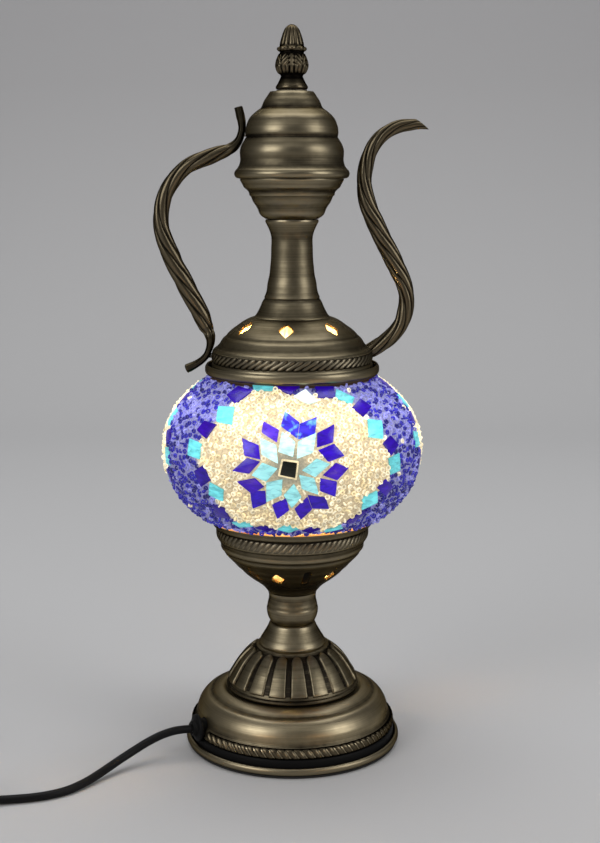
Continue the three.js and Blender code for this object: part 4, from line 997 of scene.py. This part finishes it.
def signed_distance(pts, poly):
    """Distance from points to a polygon's edge, under 0 inside."""
    n = len(poly)
    d = np.full(len(pts), 1e9)
    inside = np.zeros(len(pts), bool)
    for i in range(n):
        a, b = poly[i], poly[(i + 1) % n]
        e = b - a
        w = pts - a
        t = np.clip((w @ e) / max(e @ e, 1e-12), 0, 1)
        d = np.minimum(d, np.linalg.norm(w - t[:, None] * e, axis=1))
        cond = (a[1] <= pts[:, 1]) != (b[1] <= pts[:, 1])
        xi = a[0] + (pts[:, 1] - a[1]) * (e[0] / (e[1] if abs(e[1]) > 1e-12 else 1e-12))
        inside ^= cond & (pts[:, 0] < xi)
    return np.where(inside, -d, d)


def tile_distance(az, s):
    """Distance to the nearest tile."""
    out = np.full(len(az), 1e9)
    for kind, poly, med, i in tiles:
        c = np.mean(np.array(poly), 0)
        xy = flat_xy(az, s, c)
        near = (np.abs(xy) < 16).all(1)
        if not near.any():
            continue
        pp = flat_xy([p[0] for p in poly], np.array([p[1] for p in poly]), c)
        out[near] = np.minimum(out[near], signed_distance(xy[near], pp))
    return out


def field(az, s):
    """Signed distance to the nearest chain loop, under 0 inside it (the cream side)."""
    out = np.full(len(az), 1e9)
    for loop in loops:
        c = np.array([np.mean(loop[:, 0]), np.mean(loop[:, 1])])
        # azimuth and arc length scaled to about the same unit
        pts = np.stack([np.radians(wrap(np.asarray(az) - c[0], 360.0)) * 74.0, s - c[1]], -1)
        pl = np.stack([np.radians(loop[:, 0] - c[0]) * 74.0, loop[:, 1] - c[1]], -1)
        out = np.minimum(out, signed_distance(pts, pl))
    return out


def glow(az, z):
    """How strongly the lamp inside lights the glass: most a little above the bulb's middle."""
    return 0.78 + 0.22 * np.exp(-((z - 213.0) / 22.0) ** 2) + 0.30 * np.exp(-((z - 227.0) / 10.0) ** 2)


# grout: the ground of the mosaic, cream inside the chains and lavender outside them
gc = 480
rows_z = smooth_line(glob, 1.0)[:, 1]
gs = z_to_s(rows_z)
gaz = np.linspace(0, 360, gc, endpoint=False) + 90.0
AZ, S = np.meshgrid(gaz, gs)
fd = field(AZ.ravel(), S.ravel())
td = tile_distance(AZ.ravel(), S.ravel())
zz = np.interp(S.ravel(), GS, GL[:, 1])
g = glow(AZ.ravel(), zz)[:, None]
rg = np.random.RandomState(5)
n1 = rg.rand(len(fd), 1)
cream_g = np.array(lin(204, 187, 154)) * (0.72 + 0.42 * n1)
blue_g = np.array(lin(134, 134, 180)) * (0.60 + 0.62 * n1)
w = sstep((fd + 1.0) / 2.0)[:, None]
colr = cream_g * (1 - w) + blue_g * w
ring = np.exp(-((fd) / 3.2) ** 2)[:, None]
mid_d = np.min([np.linalg.norm(flat_xy(AZ.ravel(), S.ravel(), (shift - 1.1, float(z_to_s(198.5)))), axis=1) for shift in (0, 120, 240)], 0)
grey = np.exp(-(mid_d / 11.5) ** 4)[:, None]
colr = colr * (1 - 0.9 * grey) + np.array(lin(124, 126, 114)) * 0.9 * grey
colr = colr * g
# painted light: the ground's lower edge glows warm, for the lit glass showing above the cup
edge = (sstep((152.7 - zz) / 1.0)[:, None])
colr = colr * (1 - edge) + np.array(lin(255, 205, 120)) * 1.15 * edge
# painted reflection: the ground turns dark brown at the top, under the gallery
topd = sstep((zz - 241.6) / 0.6)[:, None]
colr = colr * (1 - topd) + np.array(lin(52, 36, 26)) * topd
gp, gn = on_globe(AZ.ravel(), S.ravel(), -0.75)
bumpy = (rg.rand(len(fd)) - 0.5) * 0.28
gp = gp + gn * bumpy[:, None]
rowsN = len(gs)
th = np.radians(gaz - 90.0)
inn = [(46.4, 244.0), (45.6, 243.6), (GL[-1, 0] - 1.2, GL[-1, 1] - 2.4), (60.0, 232.8), (70.4, 222.6), (76.8, 211.0), (79.4, 197.0), (78.6, 185.0), (74.0, 173.0),
       (66.6, 163.6), (58.6, 156.4), (54.6, 154.4)]
iv = np.array([[(r * math.cos(t), r * math.sin(t), z) for t in th] for r, z in inn]).reshape(-1, 3)
V = np.vstack([gp, iv])
ic = np.repeat(np.array([[0.16, 0.13, 0.10]]), len(iv), 0)
F = grid_faces(rowsN + len(inn), gc, close_rows=True)

GROUT = Mat("mosaic_grout")
ga = GROUT.attr("glowc").outputs["Color"]
gnz = GROUT.noise(900.0, 3.0, 0.6)
gvar = GROUT.remap(gnz, 0.74, 1.22, 0.3, 0.7)
gcol = GROUT.new("ShaderNodeVectorMath", operation="SCALE")
GROUT.link(ga, gcol.inputs[0])
GROUT.link(gvar, gcol.inputs["Scale"])
GROUT.link(gcol.outputs[0], GROUT.b.inputs["Base Color"])
GROUT.link(gcol.outputs[0], GROUT.b.inputs["Emission Color"])
GROUT.set(rough=0.62, emit_strength=0.66)
GROUT.bump(gnz, 0.5, 0.0005)
add("mosaic_ground", V, F, GROUT.m, "upper", ("mosaic_layer",), attrs={"glowc": np.vstack([colr, ic])}, sharp=None)

# tiles: cut glass, slightly pillowed, each with its own tone
TILE = Mat("mosaic_tile")
ta = TILE.attr("glowc").outputs["Color"]
mp = TILE.new("ShaderNodeMapping")
mp.inputs["Scale"].default_value = (1.0, 1.0, 2.6)
mp.inputs["Rotation"].default_value = (0.5, 0.9, 0.2)
TILE.link(TILE.tc.outputs["Object"], mp.inputs[0])
tn = TILE.noise(170.0, 3.0, 0.55, vector=mp.outputs[0], dist=0.6)
tvar = TILE.remap(tn, 0.72, 1.30, 0.32, 0.68)
# painted glints: pale cyan-white patches mixed into the colour of the tiles that are marked for them
tpat = TILE.noise(230.0, 2.0, 0.5)
tpatch = TILE.math("MULTIPLY", TILE.remap(tpat, 0.0, 0.75, 0.53, 0.72), TILE.attr("painted_glint").outputs["Fac"])
ta = TILE.mix(tpatch, ta, lin(120, 200, 250))
tcol = TILE.new("ShaderNodeVectorMath", operation="SCALE")
TILE.link(ta, tcol.inputs[0])
TILE.link(tvar, tcol.inputs["Scale"])
TILE.link(tcol.outputs[0], TILE.b.inputs["Base Color"])
TILE.link(tcol.outputs[0], TILE.b.inputs["Emission Color"])
TILE.set(rough=0.26, emit_strength=0.74, coat=0.0)
TILE.bump(tn, 0.25, 0.0004)
tv, tf, tcl, tsp = [], [], [], []
rt = np.random.RandomState(23)
for kind, poly, med, idx in tiles:
    q = np.array(poly)
    # soften the corners
    soft = []
    k = len(q)
    for i in range(k):
        a, b = q[i], q[(i + 1) % k]
        soft.append(a * 0.965 + b * 0.035)
        soft.append(a * 0.5 + b * 0.5)
        soft.append(a * 0.035 + b * 0.965)
    q = np.array(soft)
    c = q.mean(0)
    m = len(q)
    zc = float(np.interp(c[1], GS, GL[:, 1]))
    gl = float(glow(c[0], zc))
    painted_glint = 0.0
    if kind == "cobalt":
        base = np.array(COBALT) * rt.uniform(0.78, 1.25)
        base = base * np.array([rt.uniform(0.75, 1.35), rt.uniform(0.7, 1.3), 1.0])
        if idx >= 100:
            base = base * np.array([0.72, 0.72, 0.68])
        if idx == 13:
            base = np.array(lin(78, 44, 190))
        # these two top tiles carry the painted glints
        if idx in (0, 1):
            base = np.array(lin(52, 40, 190))
            painted_glint = 1.0
    elif kind == "cyan":
        base = np.array(CYAN) * rt.uniform(0.82, 1.12)
        if idx < 100 and zc > 205:
            base = base * 0.38 + np.array(lin(222, 246, 243)) * 0.62
        elif idx < 100:
            base = base * 0.6 + np.array(lin(184, 228, 228)) * 0.4
        if idx == 103:
            base = np.array(lin(222, 244, 238))
    elif kind == "frame":
        base = np.array(lin(222, 206, 166))
        gl = 0.9
    else:
        base = np.array(BLACKT)
        gl = 0.5
    base = base * gl
    b0 = len(tv)
    tilt = rt.uniform(-0.14, 0.14, 2)
    xy = flat_xy(q[:, 0], q[:, 1], c)
    for off, shrink in ((-1.3, 1.0), (-0.15, 1.0), (0.06, 0.975), (0.14, 0.90)):
        p, n = on_globe(c[0] + (q[:, 0] - c[0]) * shrink, c[1] + (q[:, 1] - c[1]) * shrink, 0.35 if kind == "black" and off > -1 else 0.0)
        extra = 0.0 if off < -1 else (xy @ tilt) * 0.12
        p = p + n * (off + extra)[:, None] if isinstance(extra, np.ndarray) else p + n * off
        tv.extend(p.tolist())
        shade = 0.55 if off < -1 else (0.8 if off < 0 else 1.0)
        col = base * shade
        if kind == "black" and off < 0:
            col = np.array(lin(58, 50, 38))
        tcl.extend([col.tolist()] * m)
        tsp.extend([painted_glint] * m)
    lift = 0.0 if kind != "black" else 0.35
    p, n = on_globe(c[0], c[1], 0.20 + lift)
    tv.append(p.tolist())
    tcl.append((base * 1.12).tolist())
    tsp.append(painted_glint)
    ci = len(tv) - 1
    for lvl in range(3):
        for i in range(m):
            j = (i + 1) % m
            tf.append([b0 + lvl * m + i, b0 + lvl * m + j, b0 + (lvl + 1) * m + j, b0 + (lvl + 1) * m + i])
    for i in range(m):
        j = (i + 1) % m
        tf.append([b0 + 3 * m + i, b0 + 3 * m + j, ci])
    tf.append([b0 + i for i in range(m)][::-1])
mt = add("mosaic_tiles", tv, tf, TILE.m, "upper", attrs={"glowc": tcl, "painted_glint": tsp}, sharp=34)
import bmesh

bm = bmesh.new()
bm.from_mesh(mt.data)
bmesh.ops.recalc_face_normals(bm, faces=bm.faces)
bm.to_mesh(mt.data)
bm.free()

# seed beads, packed between the tiles
rb = np.random.RandomState(3)
N = 90000
sw = GL[:, 0] * np.gradient(GS)
cdf = np.cumsum(sw) / sw.sum()
cs = np.interp(rb.rand(N), cdf, GS)
caz = rb.rand(N) * 360.0 - 180.0
ok = (cs > 3.0) & (cs < GS[-1] - 1.8)
cs, caz = cs[ok], caz[ok]
td = tile_distance(caz, cs)
ok = td > 1.05
mid_b = np.min([np.linalg.norm(flat_xy(caz, cs, (shift - 1.1, float(z_to_s(198.5)))), axis=1) for shift in (0, 120, 240)], 0)
ok &= mid_b > 12.5
cs, caz = cs[ok], caz[ok]
pp, nn = on_globe(caz, cs, 0.0)
MIN = 3.02
cell = {}
keep = []
kk = np.floor(pp / MIN).astype(int)
plist = pp.tolist()
for i in range(len(plist)):
    x, y, z = plist[i]
    a, b, c = kk[i]
    good = True
    for da in (-1, 0, 1):
        for db in (-1, 0, 1):
            for dc in (-1, 0, 1):
                for j in cell.get((a + da, b + db, c + dc), ()):
                    q = plist[j]
                    if (q[0] - x) ** 2 + (q[1] - y) ** 2 + (q[2] - z) ** 2 < MIN * MIN:
                        good = False
                        break
                if not good:
                    break
            if not good:
                break
        if not good:
            break
    if good:
        cell.setdefault((a, b, c), []).append(i)
        keep.append(i)
keep = np.array(keep)
bp, bn, baz, bs = pp[keep], nn[keep], caz[keep], cs[keep]
bz = np.interp(bs, GS, GL[:, 1])
bf = field(baz, bs)

BEAD_A, BEAD_B = 7, 4
ta_ = np.arange(BEAD_A) / BEAD_A * 2 * math.pi
tb_ = np.arange(BEAD_B) / BEAD_B * 2 * math.pi + math.pi / 4


def bead_mesh(name, pos, nrm, cols, mat, seed, major=(1.06, 1.26), minor=0.60):
    """Little glass rings, most of them lying flat, some tipped or on their side."""
    r = np.random.RandomState(seed)
    n = len(pos)
    # axis of each ring
    ax = nrm + r.normal(0, 0.34, (n, 3))
    side = r.rand(n) < 0.16
    rand = r.normal(0, 1, (n, 3))
    tang = np.cross(nrm, rand)
    ax[side] = tang[side]
    ax /= np.linalg.norm(ax, axis=1)[:, None]
    u = np.cross(ax, rand)
    u /= np.linalg.norm(u, axis=1)[:, None]
    v = np.cross(ax, u)
    R = r.uniform(major[0], major[1], n)[:, None, None]
    q = minor * r.uniform(0.92, 1.08, n)[:, None, None]
    ca, sa = np.cos(ta_)[None, :, None], np.sin(ta_)[None, :, None]
    cb, sb = np.cos(tb_)[None, None, :], np.sin(tb_)[None, None, :]
    rad = (R + q * cb)
    X, Y = rad * ca, rad * sa
    Zz = q * sb * 1.25 + 0 * ca
    off = np.where(side, -0.35, -0.32)[:, None] + r.uniform(-0.12, 0.10, (n, 1))
    ctr = pos + nrm * off
    Vv = (ctr[:, None, None, :] + X[..., None] * u[:, None, None, :] + Y[..., None] * v[:, None, None, :]
          + Zz[..., None] * ax[:, None, None, :])
    Vv = Vv.reshape(-1, 3)
    per = BEAD_A * BEAD_B
    base = grid_faces(BEAD_A, BEAD_B, close_rows=True)
    Ff = (base[None] + (np.arange(n) * per)[:, None, None]).reshape(-1, 4)
    # painted shade: the bore is darker than the rim
    inner = np.tile(np.where(np.cos(tb_) < 0, 0.62, 1.0)[None, None, :], (n, BEAD_A, 1)).reshape(-1, 1)
    cc = np.repeat(cols, per, 0) * inner
    o = add(name, Vv, Ff, mat, "upper", attrs={"glowc": cc}, sharp=None)
    return o


def bead_material(name, emit, rough):
    m = Mat(name)
    a = m.attr("glowc").outputs["Color"]
    n = m.noise(1400.0, 1.0, 0.5)
    sc = m.new("ShaderNodeVectorMath", operation="SCALE")
    m.link(a, sc.inputs[0])
    m.link(m.remap(n, 0.82, 1.16, 0.35, 0.65), sc.inputs["Scale"])
    m.link(sc.outputs[0], m.b.inputs["Base Color"])
    m.link(sc.outputs[0], m.b.inputs["Emission Color"])
    m.set(rough=rough, emit_strength=emit, coat=0.3, coat_rough=0.06)
    return m.m


rc = np.random.RandomState(9)
is_cream = bf < rc.normal(0, 0.5, len(bf))
stray = (rc.rand(len(bf)) < 0.015) & (bf > 0)
is_cream |= stray
cb_ = np.array(lin(252, 241, 208))[None] * rc.uniform(0.74, 1.16, (len(bf), 1))
warm = rc.rand(len(bf)) < 0.25
cb_[warm] *= np.array([1.0, 0.93, 0.78])
cb_ *= glow(baz, bz)[:, None]
bb_ = np.array(lin(44, 40, 158))[None] * rc.uniform(0.4, 1.4, (len(bf), 1))
lightb = rc.rand(len(bf)) < 0.16 + 0.34 * sstep((bz - 206.0) / 14.0)
bb_[lightb] = np.array(lin(150, 150, 226))[None] * rc.uniform(0.75, 1.1, (lightb.sum(), 1))
bb_ *= glow(baz, bz)[:, None]
CREAM = bead_material("bead_cream", 0.80, 0.16)
BLUE = bead_material("bead_blue", 0.62, 0.14)
bead_mesh("beads_cream", bp[is_cream], bn[is_cream], cb_[is_cream], CREAM, 31)
bead_mesh("beads_blue", bp[~is_cream], bn[~is_cream], bb_[~is_cream], BLUE, 37)
print("beads", is_cream.sum(), (~is_cream).sum())

# ------------------------------------------------------ glass and lamp inside
GLASS = Mat("clear_glass")
gn_ = GLASS.noise(60.0, 2.0, 0.5)
GLASS.link(GLASS.ramp(gn_, [(0.3, (0.90, 0.93, 0.90)), (0.7, (0.97, 0.98, 0.96))]), GLASS.b.inputs["Base Color"])
GLASS.link(GLASS.remap(gn_, 0.03, 0.10, 0.3, 0.7), GLASS.b.inputs["Roughness"])
GLASS.set(trans=0.9, ior=1.48)
lipn = []
for k in range(160):
    a = 2 * math.pi * k / 160
    lipn.append((54.5 * math.cos(a), 54.5 * math.sin(a), 151.0))
LIP = Mat("lit_glass_edge")
lpn = LIP.noise(26.0, 2.0, 0.5)
lpc = LIP.ramp(lpn, [(0.35, lin(214, 120, 52)), (0.55, lin(255, 196, 112)), (0.7, lin(255, 226, 160))])
LIP.link(lpc, LIP.b.inputs["Base Color"])
LIP.link(lpc, LIP.b.inputs["Emission Color"])
LIP.set(rough=0.2, emit_strength=0.6)
tube("globe_lit_edge", lipn, (0.55, 0.8), LIP.m, "upper", k=8)
shell("globe_glass", [(43.9, 143.6), (46.4, 143.6), (46.6, 146.0), (47.6, 149.4), (50.6, 151.9), (54.8, 154.5), (60.3, 158.6), (66.0, 163.6), (71.4, 170.1),
                      (75.3, 177.3), (78.0, 185.6), (79.0, 196.2), (78.0, 206.4), (75.2, 214.5), (71.2, 221.0), (65.6, 227.6), (58.6, 233.6),
                      (52.0, 238.0), (47.4, 240.4), (46.0, 243.9), (44.0, 243.9)], GLASS.m, "upper",
      inner=[(43.6, 240.6), (50.4, 236.0), (57.2, 231.4), (63.9, 225.8), (69.3, 219.4), (73.1, 213.2), (75.7, 205.5), (76.6, 196.2),
             (75.6, 186.2), (73.1, 178.5), (69.5, 171.6), (64.4, 165.5), (59.0, 160.6), (53.4, 156.5), (48.6, 153.6), (45.4, 150.2), (43.9, 146.2)],
      replaced=("glass_globe",), seg=96, step=2.5)
BULB = Mat("bulb_glass")
bn_ = BULB.noise(120.0, 2.0, 0.5)
bcol = BULB.ramp(bn_, [(0.3, (1.0, 0.80, 0.52)), (0.7, (1.0, 0.88, 0.66))])
BULB.link(bcol, BULB.b.inputs["Base Color"])
BULB.link(bcol, BULB.b.inputs["Emission Color"])
BULB.set(rough=0.35, emit_strength=9.0)
shell("bulb_envelope", [(6.6, 149.9), (7.4, 150.2), (8.6, 152.4), (12.6, 158), (16.6, 163.2), (19.6, 168.6), (21.6, 174.6), (22.5, 181.4), (21.9, 188.6),
                        (19.8, 194.8), (16.4, 199.4), (12, 202), (6.6, 203.8), (0.3, 204.2)], BULB.m, "bulb",
      inner=[(0.3, 203.2), (11.6, 201.0), (18.8, 194.2), (21.5, 181.4), (18.7, 169.2), (11.8, 158.6), (5.9, 150.6)],
      replaced=("bulb_glass",), seg=64, step=1.5)
thread = [(5.4, 128.5), (6.0, 129.0)]
for k in range(7):
    z0 = 130.2 + k * 2.4
    thread += [(6.2, z0), (6.75, z0 + 0.9), (6.2, z0 + 1.8)]
thread += [(6.6, 147.4), (6.75, 148.6), (6.7, 149.6)]
shell("bulb_screw_cap", thread, BULB_METAL, "bulb", inner=[(5.8, 149.6), (5.6, 146), (5.5, 131), (4.6, 128.5)],
      replaced=("bulb_cap",), seg=64, step=0.45, corner=100)
shell("lamp_holder", [(11.9, 109.0), (12.9, 109.0), (13.5, 109.8), (13.5, 119.6), (13.1, 120.0), (13.1, 120.8), (13.5, 121.2), (13.5, 123.6), (13.1, 124.0),
                      (13.1, 124.8), (13.5, 125.2), (13.5, 146.6), (13.1, 147.2), (13.4, 148.2), (13.4, 149.4), (12.8, 150.0), (12.0, 150.0)],
      HOLDER, "base", inner=[(12.0, 147.0), (12.0, 112.0)], replaced=("holder_shell",), seg=72, step=0.8)

# ------------------------------------ finishes for the CAD nodes still shown
slots = {p["node"]: p.get("material_slot") for p in frame["record"].get("subparts", []) if isinstance(p, dict)}
for n, o in nodes.items():
    if o.hide_render:
        continue
    m = SLOT_MAT.get(slots.get(n))
    if slots.get(n) == "bulb_glass":
        m = BULB.m
    if m is None:
        m = ZINC
    if not o.data.materials:
        o.data.materials.append(m)
    for s in o.material_slots:
        s.material = m

# ------------------------------------------------------------ light and room
room = []
prof = [(-3.2, 0.0), (1.1, 0.0)]
for k in range(1, 17):
    a = math.pi / 2 * k / 16
    prof.append((1.1 + 0.7 * math.sin(a), 0.7 - 0.7 * math.cos(a)))
prof += [(1.8, 3.6)]
rv, rf = [], []
for y, z in prof:
    rv += [(-4.0, y, z), (4.0, y, z)]
for i in range(len(prof) - 1):
    rf.append([2 * i, 2 * i + 1, 2 * i + 3, 2 * i + 2])
STAGE = Mat("studio_paper")
sep = STAGE.new("ShaderNodeSeparateXYZ")
STAGE.link(STAGE.tc.outputs["Object"], sep.inputs[0])
# painted shade: the sweep is darker from the floor up the back wall
sv = STAGE.math("ADD", STAGE.remap(sep.outputs[2], 0.0, 1.0, 0.0, 1.1), STAGE.math("MULTIPLY", STAGE.noise(3.0, 2.0, 0.5), 0.02))
STAGE.link(STAGE.ramp(sv, [(0.0, (0.50, 0.50, 0.505)), (0.5, (0.40, 0.395, 0.40)), (1.0, (0.39, 0.385, 0.395))]), STAGE.b.inputs["Base Color"])
STAGE.set(rough=0.75, spec=0.15)
floor = add("studio_sweep", rv, rf, STAGE.m, None, mm=False, sharp=None)


def area(name, loc, target, size, energy, color=(1, 1, 1)):
    d = bpy.data.lights.new(name, "AREA")
    d.shape = "RECTANGLE"
    d.size, d.size_y = size
    d.energy = energy
    d.color = color
    o = bpy.data.objects.new(name, d)
    COL.objects.link(o)
    o.location = loc
    o.rotation_euler = (Vector(target) - Vector(loc)).to_track_quat("-Z", "Y").to_euler()
    return o


area("key_left", (-1.45, -1.35, 1.05), (0, 0, 0.22), (1.2, 1.4), 19.0)
area("fill_right", (1.75, -0.95, 0.95), (0, 0, 0.25), (1.0, 1.5), 15.5)
area("top", (0.0, 0.45, 2.1), (0, 0.45, 0), (2.4, 1.6), 28.5)
area("front_high", (0.0, -1.15, 1.5), (0, 0, 0.12), (1.0, 0.5), 1.0)
area("low_fill", (0.0, -1.7, 0.3), (0, 0, 0.25), (1.3, 0.5), 0.3)
area("back_wash", (0.0, -0.4, 2.6), (0, 1.8, 0.8), (2.6, 0.8), 3.6)
area("warm_left", (-0.24, -0.42, 0.10), (0, 0, 0.32), (0.10, 0.10), 0.08, (1.0, 0.62, 0.30))
area("warm_right", (0.26, -0.42, 0.10), (0, 0, 0.32), (0.10, 0.10), 0.08, (1.0, 0.62, 0.30))


def point(name, loc, energy, radius, color, body):
    d = bpy.data.lights.new(name, "POINT")
    d.energy = energy
    d.shadow_soft_size = radius
    d.color = color
    o = bpy.data.objects.new(name, d)
    COL.objects.link(o)
    o.location = loc
    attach(o, body)
    return o


point("glow_in_cap", (0.017, 0.0, 0.2555), 0.5, 0.006, (1.0, 0.72, 0.36), "upper")
point("glow_in_cap_b", (-0.017, 0.0, 0.2555), 0.5, 0.006, (1.0, 0.72, 0.36), "upper")
point("glow_in_cup", (0.022, 0.0, 0.131), 0.25, 0.005, (1.0, 0.66, 0.30), "base")
point("glow_in_cup_b", (-0.022, 0.0, 0.131), 0.25, 0.005, (1.0, 0.66, 0.30), "base")

world = bpy.data.worlds.new("studio")
scene.world = world
world.use_nodes = True
bg = world.node_tree.nodes.get("Background") or world.node_tree.nodes.new("ShaderNodeBackground")
bg.inputs[0].default_value = (0.62, 0.63, 0.65, 1.0)
bg.inputs[1].default_value = 0.17
